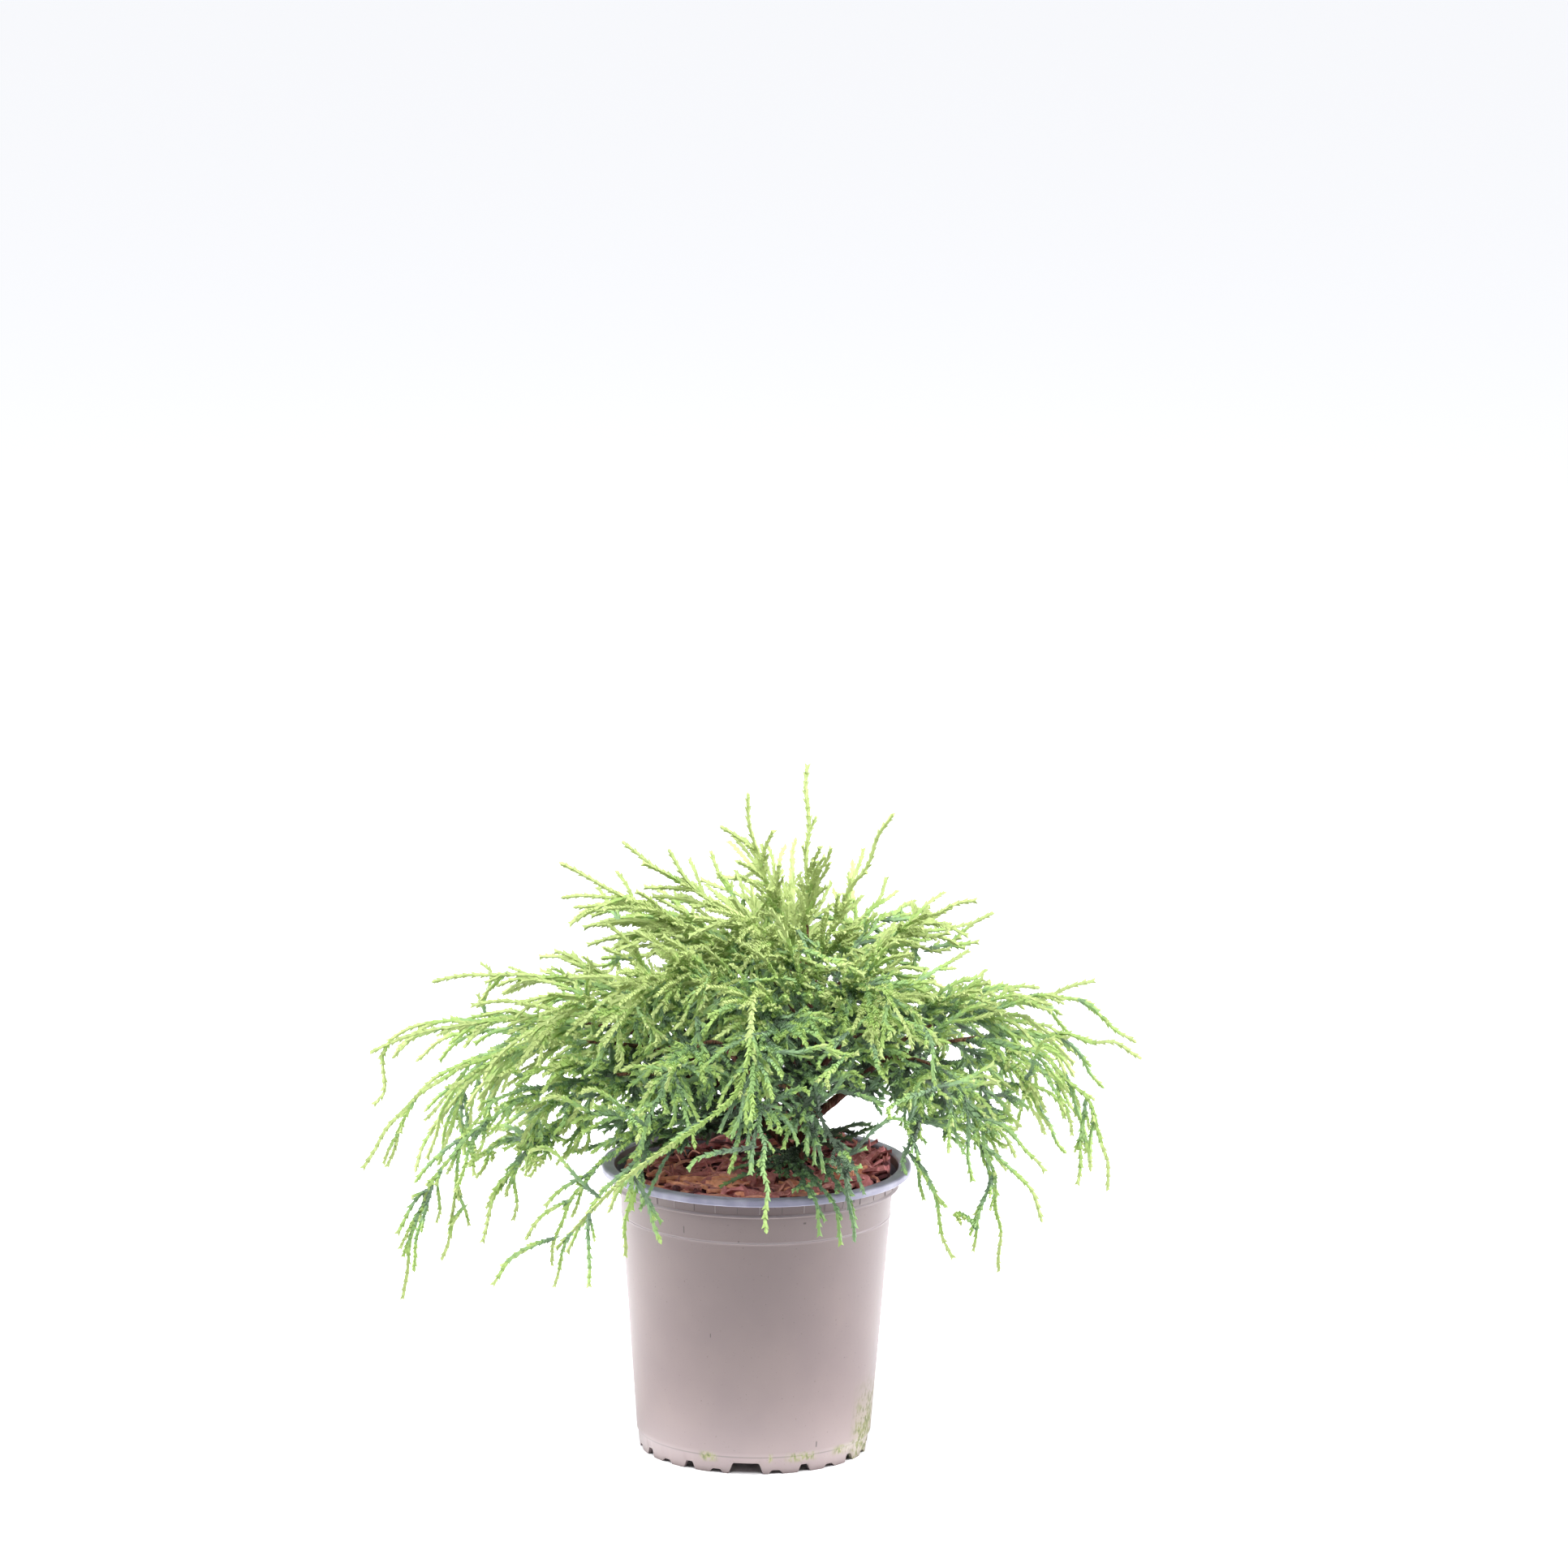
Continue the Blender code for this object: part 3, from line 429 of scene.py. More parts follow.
def pot_profile(lift):
    """The wall's closed section, from the middle of the floor up the inside and down the outside."""
    inner_top = RIM_RADIUS - RIM_FLANGE
    section = [
        (0.0, FOOT_HEIGHT),
        (wall_radius(FOOT_HEIGHT) - WALL, FOOT_HEIGHT),
        (wall_radius(RIDGE_HEIGHT) - WALL, RIDGE_HEIGHT - RIDGE_FLANK),
        (COLLAR_RADIUS - WALL, RIDGE_HEIGHT + RIDGE_FLANK / 2),
    ]
    section += arc((inner_top + RIM_ROUND, RIM_TOP - RIM_ROUND), RIM_ROUND, 180, 90, 4)
    section += arc((RIM_RADIUS - RIM_ROUND, RIM_TOP - RIM_ROUND), RIM_ROUND, 90, 0, 5)
    section += [
        (RIM_RADIUS, RIM_TOP - RIM_LIP + 0.0005),
        (RIM_RADIUS - 0.0005, RIM_TOP - RIM_LIP),
        (RIM_RADIUS - RIM_LIP_WIDTH, RIM_TOP - RIM_LIP),
        (RIM_RADIUS - RIM_LIP_WIDTH, RIM_TOP - 2 * RIM_ROUND),
        (COLLAR_RADIUS + COLLAR_FLARE, RIM_TOP - 2 * RIM_ROUND),
        (COLLAR_RADIUS, RIDGE_HEIGHT + 2 * RIDGE_FLANK),
    ]
    section += arc((COLLAR_RADIUS, RIDGE_HEIGHT), RIDGE_PROUD, 70, -70, 4)
    for height in (RIDGE_HEIGHT - 2 * RIDGE_FLANK, RIDGE_HEIGHT - SUPPORT):
        section.append((wall_radius(height), height))
    for above, proud in ((2.5, 0.0), (1, 0.0), (0.3, RING_PROUD), (-0.3, RING_PROUD), (-1, 0.0), (-2.5, 0.0)):
        height = RING_HEIGHT + above * RING_FLANK
        section.append((wall_radius(height) + proud, height))
    section += [
        (wall_radius(SEAM_HEIGHT + SUPPORT) + SEAM_STEP / 2, SEAM_HEIGHT + SUPPORT),
        (wall_radius(SEAM_HEIGHT) + SEAM_STEP / 2, SEAM_HEIGHT + SEAM_STEP),
        (wall_radius(SEAM_HEIGHT) - SEAM_STEP, SEAM_HEIGHT - SEAM_STEP),
        (FOOT_RADIUS, lift),
        (FOOT_RADIUS - FOOT_RING, lift),
        (FOOT_RADIUS - FOOT_RING, FOOT_HEIGHT - FLOOR_THICKNESS),
        (0.0, FOOT_HEIGHT - FLOOR_THICKNESS),
    ]
    return section


def pot_mesh(finish):
    """The whole moulding: one section for each column, joined round the axis."""
    azimuths = [360 * k / POT_COLUMNS for k in range(POT_COLUMNS)]
    bm = bmesh.new()
    columns = []
    for azimuth in azimuths:
        section = pot_profile(foot_lift(azimuth))
        columns.append([bm.verts.new(polar(azimuth, radius, height)) for radius, height in section])
    for here, there in zip(columns, columns[1:] + columns[:1]):
        for i in range(len(here) - 1):
            bm.faces.new((here[i], there[i], there[i + 1], here[i + 1]))
    bmesh.ops.remove_doubles(bm, verts=bm.verts, dist=1e-6)
    bmesh.ops.dissolve_degenerate(bm, edges=bm.edges, dist=1e-7)
    bmesh.ops.recalc_face_normals(bm, faces=bm.faces)
    return mesh_from(bm, "pot_wall", finish)


# %% [markdown]
# The plastic has two layers: warm taupe outside, and a dark slate inside that shows on the rolled rim. One
# material does both, with a mask that is worked out from the radius and the height. A used pot also has
# fine specks, a few dark scuffs, and green algae low down on one side and along the seam over the foot.
# These come from noise that a mask keeps in place.

# %% Pot finish
TAUPE, TAUPE_WARM = (0.160, 0.125, 0.124), (0.174, 0.136, 0.132)
TAUPE_PAINTED_HIGHLIGHT = (0.290, 0.250, 0.265)
SLATE, SLATE_PALE = (0.205, 0.200, 0.275), (0.290, 0.285, 0.370)
# dark scuffs and specks, and the painted shade along the seam step over the foot
SCUFF_AND_SEAM_SHADE = (0.055, 0.048, 0.045)
ALGAE, ALGAE_DARK, ALGAE_FILM = (0.140, 0.150, 0.056), (0.065, 0.080, 0.028), (0.200, 0.185, 0.115)
ALGAE_AZIMUTH, ALGAE_SPREAD, ALGAE_TOP = -20.0, 17.0, 0.056
# the azimuth and the half width in degrees of each stretch of algae on the seam over the foot
SEAM_ALGAE = ((-112.5, 6.0), (-81.5, 1.5), (-65.0, 11.0), (-38.0, 12.0))
SEAM_LINE = 0.0005
# each scuff has an azimuth, a height, and its half sizes round and up the wall
SCUFFS = ((238.5, 0.1535, 0.0004, 0.0022), (302.0, 0.0170, 0.0005, 0.0018), (263.0, 0.1490, 0.0004, 0.0006),
          (291.0, 0.1600, 0.0009, 0.0006), (313.0, 0.1705, 0.0008, 0.0010), (250.0, 0.0880, 0.0003, 0.0012))


def pot_finish():
    finish = Finish("pot_plastic", TAUPE, 0.36, specular=0.35)
    point, x, y, z = finish.place()
    radius = (x * x + y * y).math("SQRT")
    azimuth = y.math("ARCTAN2", x) * math.degrees(1.0)
    cloud = finish.noise(point, 22.0)
    taupe = finish.blend(cloud.ramp(0.35, 0.70), TAUPE, TAUPE_WARM)
    specks = finish.noise(point, 900.0, 1.0).ramp(0.735, 0.775)
    taupe = finish.blend(specks * 0.55, taupe, SCUFF_AND_SEAM_SHADE)
    for where, height, half_width, half_height in SCUFFS:
        turn = abs(azimuth - (where - 360.0)) * (math.pi / 180 * wall_radius(height))
        up = abs(z - height)
        mark = turn.ramp(half_width * 1.4, half_width * 0.6) * up.ramp(half_height * 1.3, half_height * 0.7)
        taupe = finish.blend(mark * 0.85, taupe, SCUFF_AND_SEAM_SHADE)
    # pale lines just above the ridge and the ring: painted highlights on their upper faces
    for height in (RIDGE_HEIGHT + 0.0006, RING_HEIGHT + 0.0005):
        taupe = finish.blend(abs(z - height).ramp(0.0008, 0.0002) * (0.55 + cloud * 0.4), taupe, TAUPE_PAINTED_HIGHLIGHT)
    # a thin dark line along the seam step over the foot: painted shade under the step
    line = abs(z - SEAM_HEIGHT).ramp(1.4 * SEAM_LINE, 0.6 * SEAM_LINE)
    taupe = finish.blend(line * 0.5, taupe, SCUFF_AND_SEAM_SHADE)
    patch = abs(azimuth - ALGAE_AZIMUTH).ramp(ALGAE_SPREAD, 0.4 * ALGAE_SPREAD)
    patch *= z.ramp(ALGAE_TOP, 0.35 * ALGAE_TOP)
    near_seam = abs(z - SEAM_HEIGHT + 0.0008).ramp(0.0045, 0.0006)
    for where, spread in SEAM_ALGAE:
        patch = patch.math("MAXIMUM", near_seam * abs(azimuth - where).ramp(spread, 0.3 * spread))
    grain = finish.noise(finish.stretched(point, (1.0, 1.0, 0.6)), 420.0, 4.0)
    algae = patch * (grain + finish.noise(point, 90.0) * 0.5).ramp(0.70, 0.82)
    taupe = finish.blend(patch * 0.35, taupe, ALGAE_FILM)
    green = finish.blend(grain.ramp(0.52, 0.66), ALGAE, ALGAE_DARK)
    taupe = finish.blend(algae * 0.85, taupe, green)
    slate = finish.blend(finish.noise(point, 60.0).ramp(0.4, 0.7), SLATE, SLATE_PALE)
    on_rim = (radius > COLLAR_RADIUS + 0.0020) * (z > RIM_TOP - RIM_LIP - 0.0006)
    outer = z * ((WALL_TOP_RADIUS - WALL_FOOT_RADIUS) / (RIDGE_HEIGHT - FOOT_HEIGHT)) + WALL_FOOT_RADIUS
    inside = (radius < outer - WALL) + (radius < COLLAR_RADIUS - WALL / 3) * (z > RIDGE_HEIGHT + RIDGE_FLANK)
    inner_layer = (on_rim + inside * (z > FOOT_HEIGHT) + (z > RIM_TOP - RIM_ROUND)).ramp(0.2, 0.8)
    finish.feed("Base Color", finish.blend(inner_layer, taupe, slate))
    finish.feed("Roughness", 0.36 + algae * 0.4 - inner_layer * 0.06 + cloud * 0.06)
    finish.relief(finish.noise(point, 260.0) + algae * 0.6, 0.00012, 0.35)
    return finish


piece("pot_wall", pot_mesh(pot_finish()), "pot_plastic", "pot")

# %% [markdown]
# The band under the rim has fine upright ribs, a little over a centimetre apart. Its bars are pale and dark in
# turn: the pale ones carry a painted highlight, and the dark ones painted shade where grooves would be. They
# are the first thing here that repeats along a path, so a small tree places them: a circle, points on it, and
# one bar on each point. It runs once for the highlit bars and once, half a step on, for the dark ones.


# %% Collar ribs
RIB_WIDTH, RIB_DEPTH, RIB_LEAN, RIB_TURN = 0.0007, 0.0009, 4.5, 0.03
RIB_LOW, RIB_HIGH = RIDGE_HEIGHT + 2 * RIDGE_FLANK, RIM_TOP - 2 * RIM_ROUND


def bar_mesh(finish):
    """A small upright bar, narrower at its outer face."""
    bm = bmesh.new()
    bmesh.ops.create_cube(bm, size=1.0)
    for v in bm.verts:
        narrow = 0.4 if v.co.x > 0 else 1.0
        v.co = Vector((v.co.x * RIB_DEPTH, v.co.y * RIB_WIDTH * narrow, v.co.z * (RIB_HIGH - RIB_LOW)))
    return mesh_from(bm, "bar", finish, smooth=False)


def rib_tree():
    tree = Pattern("ribs_round_a_collar", Count="Int", Radius="Float", Height="Float", Turn="Float",
                   Lean="Float", Bar="Object", Finish="Material")
    values = {"Resolution": tree.take("Count"), 4: tree.take("Radius")}
    circle = tree.node("GeometryNodeCurvePrimitiveCircle", values=values)
    points = tree.node("GeometryNodeCurveToPoints", {"mode": "EVALUATED"}, {0: circle})
    values = {"Vector": points.output("Tangent")}
    around = tree.node("FunctionNodeAlignRotationToVector", {"axis": "Y"}, values)
    values = {"Rotation": around, "Rotate By": tree.turned(0.0, tree.take("Lean"), 0.0)}
    leaning = tree.node("FunctionNodeRotateRotation", {"rotation_space": "LOCAL"}, values)
    bar = tree.node("GeometryNodeObjectInfo", values={0: tree.take("Bar")}, output="Geometry")
    values = {"Points": points, "Instance": bar, "Rotation": leaning}
    bars = tree.node("GeometryNodeInstanceOnPoints", values=values)
    lift = tree.node("ShaderNodeCombineXYZ", values={2: tree.take("Height")})
    turn = tree.turned(0.0, 0.0, tree.take("Turn"))
    values = {0: bars, "Translation": lift, "Rotation": turn}
    tree.end(tree.node("GeometryNodeTransform", values=values))
    return tree


# the pale bars are a painted highlight on the ribs, and the dark bars painted shade in the grooves
RIB_PAINTED_HIGHLIGHT = Finish("pot_rib_pale", (0.28, 0.24, 0.24), 0.36)
GROOVE_PAINTED_SHADE = Finish("pot_rib_dark", (0.095, 0.078, 0.078), 0.45)
RIBS = rib_tree()
for name, finish, turn in (("pale_ribs", RIB_PAINTED_HIGHLIGHT, RIB_TURN),
                           ("dark_ribs", GROOVE_PAINTED_SHADE, RIB_TURN + math.pi / COLLAR_RIBS)):
    bar = bpy.data.objects.new("bar", bar_mesh(finish))
    ribs = RIBS.run(name, bpy.data.meshes.new("empty"), Count=COLLAR_RIBS, Radius=COLLAR_RADIUS + 0.0002,
                    Height=(RIB_LOW + RIB_HIGH) / 2, Turn=turn, Lean=math.radians(RIB_LEAN), Bar=bar,
                    Finish=finish.material)
    piece(name, ribs, "pot_plastic")
    bpy.data.objects.remove(bar)

# %% [markdown]
# The compost hardly shows: only its solid's finish matters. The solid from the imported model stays, and gets
# a crumbly dark finish in place of its plain one.

# %% Compost
COMPOST_TOP = 0.1600
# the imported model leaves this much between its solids
GAP = 0.0003


def crumbly(name, dark, pale, scale, depth):
    """A rough finish that is mottled between two colours."""
    finish = Finish(name, dark, 0.92, specular=0.2)
    point = finish.place()[0]
    crumbs = finish.noise(point, scale, 5.0)
    finish.feed("Base Color", finish.blend(crumbs.ramp(0.35, 0.68), dark, pale))
    finish.relief(crumbs, depth)
    return finish


compost = frame["nodes"]["root_ball"]
compost_finish = crumbly("compost", (0.020, 0.012, 0.008), (0.075, 0.045, 0.028), 420.0, 0.0008)
compost.data.materials.clear()
compost.data.materials.append(compost_finish.material)

# %% [markdown]
# The mulch is shredded pine bark: long fibrous slivers, flat flakes and a few nuggets, heaped a little
# towards the back and the right. Modelling each by hand would take days, and scattering one shape looks
# false, so a tree scatters four shapes over a low bed, each turned and scaled by chance. It runs once for
# each of three colours. The large pieces that catch the eye at the front are laid one by one. Narrow
# slivers lie along the rim at the front, and tufts of fibres stand up at four places.

# %% Mulch bed
MULCH_TOP, MULCH_HOLE = 0.1655, 0.0082
HEAP_AZIMUTH, HEAP_HEIGHT = 25.0, 0.0090
BED_RINGS, BED_COLUMNS = 26, 96
TRUNK_FOOT = Vector((0.022, 0.010, 0.0))


def bed_height(x, y):
    """Height of the mulch at a place: lumpy, and heaped towards one side."""
    radius = math.hypot(x, y)
    side = max(0.0, math.cos(math.atan2(y, x) - math.radians(HEAP_AZIMUTH)))
    lumps = 0.0010 * math.sin(210 * x + 1.3) * math.sin(190 * y + 0.4)
    return MULCH_TOP + HEAP_HEIGHT * side * (radius / 0.08) ** 2 + lumps


def bed_mesh(finish):
    """The bed as a closed layer, and its upper faces alone for scattering on."""
    outer = wall_radius(COMPOST_TOP) - WALL - 2 * GAP
    layer, top = bmesh.new(), bmesh.new()
    for bm, closed in ((layer, True), (top, False)):
        rows = []
        for k in range(BED_RINGS + 1):
            share = k / BED_RINGS
            ring = []
            for c in range(BED_COLUMNS):
                near = TRUNK_FOOT + polar(360 * c / BED_COLUMNS, MULCH_HOLE, 0)
                far = polar(360 * c / BED_COLUMNS, outer, 0)
                spot = near.lerp(far, share)
                ring.append(bm.verts.new((spot.x, spot.y, bed_height(spot.x, spot.y))))
            rows.append(ring)
        if closed:
            for ring in (rows[-1], rows[0]):
                rows.append([bm.verts.new((v.co.x, v.co.y, COMPOST_TOP + GAP)) for v in ring])
            rows.append(rows[0])
        for low, high in zip(rows, rows[1:]):
            for c in range(BED_COLUMNS):
                n = (c + 1) % BED_COLUMNS
                bm.faces.new((low[c], high[c], high[n], low[n]))
    bmesh.ops.recalc_face_normals(layer, faces=layer.faces)
    return mesh_from(layer, "mulch_bed", finish), mesh_from(top, "mulch_top", finish)


bed_finish = crumbly("mulch_shade", (0.022, 0.009, 0.009), (0.090, 0.032, 0.032), 300.0, 0.0012)
bed, bed_top = bed_mesh(bed_finish)
piece("mulch_bed", bed, "bark", "bark_mulch")


# %% Bark shreds
def shred(name, length, width, thickness, curl, seed, steps=5):
    """A splinter of bark along X: a closed strip with ragged edges, bent over its length."""
    rng = random.Random(seed)
    bm = bmesh.new()
    rings = []
    for i in range(steps + 1):
        share = i / steps
        wide = width / 2 * (0.35 + 0.65 * math.sin(math.pi * (0.12 + 0.76 * share))) * rng.uniform(0.75, 1.2)
        thick = thickness / 2 * rng.uniform(0.7, 1.25)
        x = (share - 0.5) * length * rng.uniform(0.97, 1.03)
        drop = curl * (1 - (2 * share - 1) ** 2)
        shift = rng.uniform(-0.15, 0.15) * width
        corners = ((-wide, -thick), (wide, -thick), (wide * 0.8, thick), (0.1 * wide, thick * 1.5),
                   (-wide * 0.8, thick))
        rings.append([bm.verts.new((x, y + shift, z + drop)) for y, z in corners])
    for low, high in zip(rings, rings[1:]):
        for k in range(len(low)):
            n = (k + 1) % len(low)
            bm.faces.new((low[k], low[n], high[n], high[k]))
    bm.faces.new(rings[0])
    bm.faces.new(rings[-1])
    bmesh.ops.recalc_face_normals(bm, faces=bm.faces)
    return bpy.data.objects.new(name, mesh_from(bm, name, bed_finish, smooth=False))


SHREDS = bpy.data.collections.new("shreds")
scene.collection.children.link(SHREDS)
for shape in (("sliver", 0.034, 0.0042, 0.0016, 0.0036, 1), ("flake", 0.018, 0.0095, 0.0028, 0.0012, 2),
              ("fibre", 0.036, 0.0016, 0.0010, 0.0060, 3), ("splinter", 0.026, 0.0058, 0.0020, -0.0020, 4)):
    SHREDS.objects.link(shred(*shape))


def mulch_tree():
    tree = Pattern("mulch", Shreds="Collection", Density="Float", Tilt="Float", Lift="Float", Seed="Int",
                   Finish="Material")
    values = {0: tree.take("Start"), "Density": tree.take("Density"), "Seed": tree.take("Seed")}
    points = tree.node("GeometryNodeDistributePointsOnFaces", values=values)
    settings = {"transform_space": "ORIGINAL"}
    values = {0: tree.take("Shreds"), "Separate Children": True, "Reset Children": True}
    shapes = tree.node("GeometryNodeCollectionInfo", settings, values)
    seed, tilt = tree.take("Seed"), tree.take("Tilt")
    turn = tree.turned(tree.chance(-1.0, 1.0, seed) * tilt, tree.chance(-1.0, 1.0, seed + 1) * tilt,
                       tree.chance(0.0, math.tau, seed + 2))
    size = tree.chance(0.55, 1.25, seed + 3)
    values = {"Points": points, "Instance": shapes, "Pick Instance": True, "Rotation": turn, "Scale": size,
              "Instance Index": tree.chance(0.0, 3.99, seed + 4).math("FLOOR")}
    strewn = tree.node("GeometryNodeInstanceOnPoints", values=values)
    lift = tree.node("ShaderNodeCombineXYZ", values={2: tree.chance(0.0, 1.0, seed + 5) * tree.take("Lift")})
    values = {0: strewn, "Translation": lift, "Local Space": False}
    tree.end(tree.node("GeometryNodeTranslateInstances", values=values))
    return tree


# %% Strewn mulch
BARK_CLEARANCE = 0.0008


def press_inside(mesh):
    """Presses whatever would stick through the pot's wall against it, from inside."""
    for vertex in mesh.vertices:
        limit = wall_radius(vertex.co.z) - WALL - BARK_CLEARANCE
        radius = math.hypot(vertex.co.x, vertex.co.y)
        if radius > limit:
            vertex.co.x *= limit / radius
            vertex.co.y *= limit / radius


MULCH = mulch_tree()
# name, two colours, pieces to the square metre, tilt, lift and seed
LAYERS = (("mulch_dark", (0.120, 0.042, 0.050), (0.180, 0.064, 0.074), 12000.0, 0.45, 0.0016, 11),
          ("mulch_red", (0.420, 0.138, 0.145), (0.520, 0.195, 0.200), 9000.0, 0.60, 0.0048, 23),
          ("mulch_tan", (0.800, 0.360, 0.280), (0.700, 0.310, 0.240), 3800.0, 0.55, 0.0058, 37))
for name, colour, second, density, tilt, lift, seed in LAYERS:
    finish = crumbly(name, colour, second, 260.0, 0.0006)
    strewn = MULCH.run(name, bed_top, Shreds=SHREDS, Density=density, Tilt=tilt, Lift=lift, Seed=seed,
                       Finish=finish.material)
    press_inside(strewn)
    piece(name, strewn, "bark", "bark_mulch")
for shape in list(SHREDS.objects):
    bpy.data.objects.remove(shape)
bpy.data.collections.remove(SHREDS)

# %% Bark chips laid one by one
# across, away, length, width, thickness, turn and tilt in degrees
TAN_CHIPS = ((-0.030, -0.028, 0.034, 0.0044, 0.0030, 6, 38), (-0.017, -0.036, 0.028, 0.0060, 0.0034, -4, 30),
             (-0.047, -0.019, 0.030, 0.0036, 0.0024, 20, 35), (0.056, -0.021, 0.022, 0.0120, 0.0085, 14, 30),
             (0.024, -0.036, 0.020, 0.0090, 0.0040, -12, 35), (-0.058, -0.002, 0.028, 0.0045, 0.0020, 50, 20))
RED_CHIPS = ((0.001, -0.032, 0.020, 0.0130, 0.0110, 8, 20), (0.037, -0.031, 0.020, 0.0100, 0.0050, 20, 35),
             (0.044, -0.010, 0.026, 0.0090, 0.0040, 75, 30), (0.066, -0.002, 0.028, 0.0090, 0.0040, 98, 35),
             (-0.036, -0.008, 0.030, 0.0065, 0.0030, -30, 25), (0.010, -0.016, 0.026, 0.0080, 0.0036, 40, 35),
             (-0.014, -0.014, 0.028, 0.0060, 0.0026, 12, 40), (0.028, -0.018, 0.024, 0.0075, 0.0034, -25, 35))
CHIP_LIFT = 0.0072
# slivers that lie along the rim at the front: how many, and their azimuths, reach, length and width
SLIVERS, SLIVER_ARC, SLIVER_REACH = 44, (200.0, 335.0), (0.042, 0.075)
SLIVER_LENGTH, SLIVER_WIDTH = (0.013, 0.026), (0.0020, 0.0040)
# the foot of each tuft of standing fibres, and how many fibres it has
TUFTS = ((Vector((0.0715, 0.0140, 0.1700)), 14), (Vector((0.0640, -0.0100, 0.1690)), 8),
         (Vector((-0.0260, -0.0080, 0.1650)), 8), (Vector((-0.0520, -0.0160, 0.1640)), 7))


def laid(across, away, length, width, thickness, turn, tilt, seed):
    """A chip of bark at its own place on the bed."""
    chip = shred("chip", length, width, thickness, 0.0, seed, 7)
    spot = Matrix.Translation((across, away, bed_height(across, away) + CHIP_LIFT))
    turned = Matrix.Rotation(math.radians(turn), 4, "Z") @ Matrix.Rotation(math.radians(tilt), 4, "X")
    chip.data.transform(spot @ turned)
    return chip


def tuft_fibre(foot, seed, rng):
    """One fibre of a tuft, standing nearly upright."""
    fibre = shred("fibre", rng.uniform(0.014, 0.025), 0.0016, 0.0010, rng.uniform(-0.004, 0.004), seed)
    roll = Matrix.Rotation(rng.uniform(-0.5, 0.5), 4, "X")
    rise = Matrix.Rotation(-math.pi / 2 + rng.uniform(-0.5, 0.6), 4, "Y")
    spread = Vector((rng.uniform(-0.006, 0.005), rng.uniform(-0.014, 0.014), rng.uniform(0.0, 0.006)))
    fibre.data.transform(Matrix.Translation(foot + spread) @ (roll @ rise))
    return fibre


def sliver(seed, rng):
    """One narrow sliver at the front, lying more or less along the rim."""
    azimuth = rng.uniform(*SLIVER_ARC)
    spot = polar(azimuth, rng.uniform(*SLIVER_REACH), 0)
    return laid(spot.x, spot.y, rng.uniform(*SLIVER_LENGTH), rng.uniform(*SLIVER_WIDTH), 0.0016,
                azimuth + 90 + rng.uniform(-40, 40), rng.uniform(-20, 45), seed)


def join_chips(name, chips, finish):
    """Joins chips into one piece with one finish, inside the pot's wall."""
    bm = bmesh.new()
    for chip in chips:
        bm.from_mesh(chip.data)
        bpy.data.objects.remove(chip)
    mesh = mesh_from(bm, name, finish, smooth=False)
    press_inside(mesh)
    piece(name, mesh, "bark", "bark_mulch")


tuft_rng = random.Random(3)
tan_chips = [laid(*row, seed=40 + k) for k, row in enumerate(TAN_CHIPS)]
red_chips = [laid(*row, seed=60 + k) for k, row in enumerate(RED_CHIPS)]
fibres = [tuft_fibre(foot, 90 + k, tuft_rng) for foot, count in TUFTS for k in range(count)]
slivers = [sliver(130 + k, tuft_rng) for k in range(SLIVERS)]
tan_chips += slivers[::4]
red_chips += slivers[1::4] + slivers[2::4] + slivers[3::4] + fibres
CHIPS = (("tan_chips", tan_chips, (0.960, 0.440, 0.290), (0.740, 0.290, 0.200), 340.0, 0.0004),
         ("red_chips", red_chips, (0.460, 0.165, 0.165), (0.620, 0.270, 0.250), 300.0, 0.0005))
for name, chips, *looks in CHIPS:
    join_chips(name, chips, crumbly(name, *looks))

# %% [markdown]
# The wood is a short leaning trunk, four stems and many boughs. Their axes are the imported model's own
# curves, written again here with the same values. Each axis is a line of points that carries its radius,
# and one tree turns any such line into a closed tube and roughens it like flaking bark.

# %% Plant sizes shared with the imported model
TRUNK_TIP, TRUNK_BOW = Vector((0.030, 0.006, 0.300)), Vector((0.008, 0.004, 0.0))
FLARE_RADIUS, TRUNK_RADIUS, TRUNK_TIP_RADIUS, FLARE_HEIGHT = 0.0076, 0.0050, 0.0022, 0.010
STEM_RADIUS, STEM_TIP_RADIUS, STEM_SAG = 0.0032, 0.0017, 0.006
BOUGH_RADIUS, BOUGH_TIP_RADIUS = 0.0020, 0.0014
RISE, RISE_SPAN = 0.85, 0.30
CORD_STEP, CORD_FOOT, CORD_FOOT_RADIUS, CORD_ROWS = 0.026, 0.004, 0.0007, 5
SPRAY_REACH, SPRAY_STEP, SPRAY_SPACING = 0.0078, 0.022, 0.0165
SPRAY_THICKNESS, SPRAY_TIP_THICKNESS, BLADE_FOOT = 0.0015, 0.0009, 0.4
SPRAY_ANGLE, SPRAY_ANGLE_SPREAD, SPRAY_ROLL = 36.0, (0.75, 1.3), 75.0
SPRAY_FIRST, SPRAY_RUN, SPRAY_NEAREST, SPRAY_JITTER = 0.05, 0.77, 0.03, 0.3
SPRAY_LENGTH, SPRAY_SHORTENING, SPRAY_SPREAD, SPRAY_OVERRUN = 1.1, 0.6, (0.8, 1.15), 0.9
SPRAY_ATTEMPTS, SPRAY_RETRY = 4, 0.82
SPRAY_SAG_HIGH, SPRAY_SAG_LOW, ARCH_HIGH, ARCH_LOW = 0.15, 0.65, 0.345, 0.270
BLADE_ROLL, BLADE_NARROWING, TOOTH_LEAN, UPRIGHT = 75.0, 0.4, 1.45, 0.2
CROWN_PROFILE = ((0.0, 0.402), (0.085, 0.362), (0.130, 0.342), (0.170, 0.292), (0.205, 0.282), (0.240, 0.246))
SPACE_MARGIN, WOOD_MARGIN, RIM_MARGIN, INNER_MARGIN, GROUND_MARGIN = 0.0026, 0.0050, 0.0025, 0.0020, 0.0040
MULCH_CLEAR = 0.1744
SEED = 4107
PATH_STEPS, HEADING_STEP, SAMPLES = 24, 0.002, 40

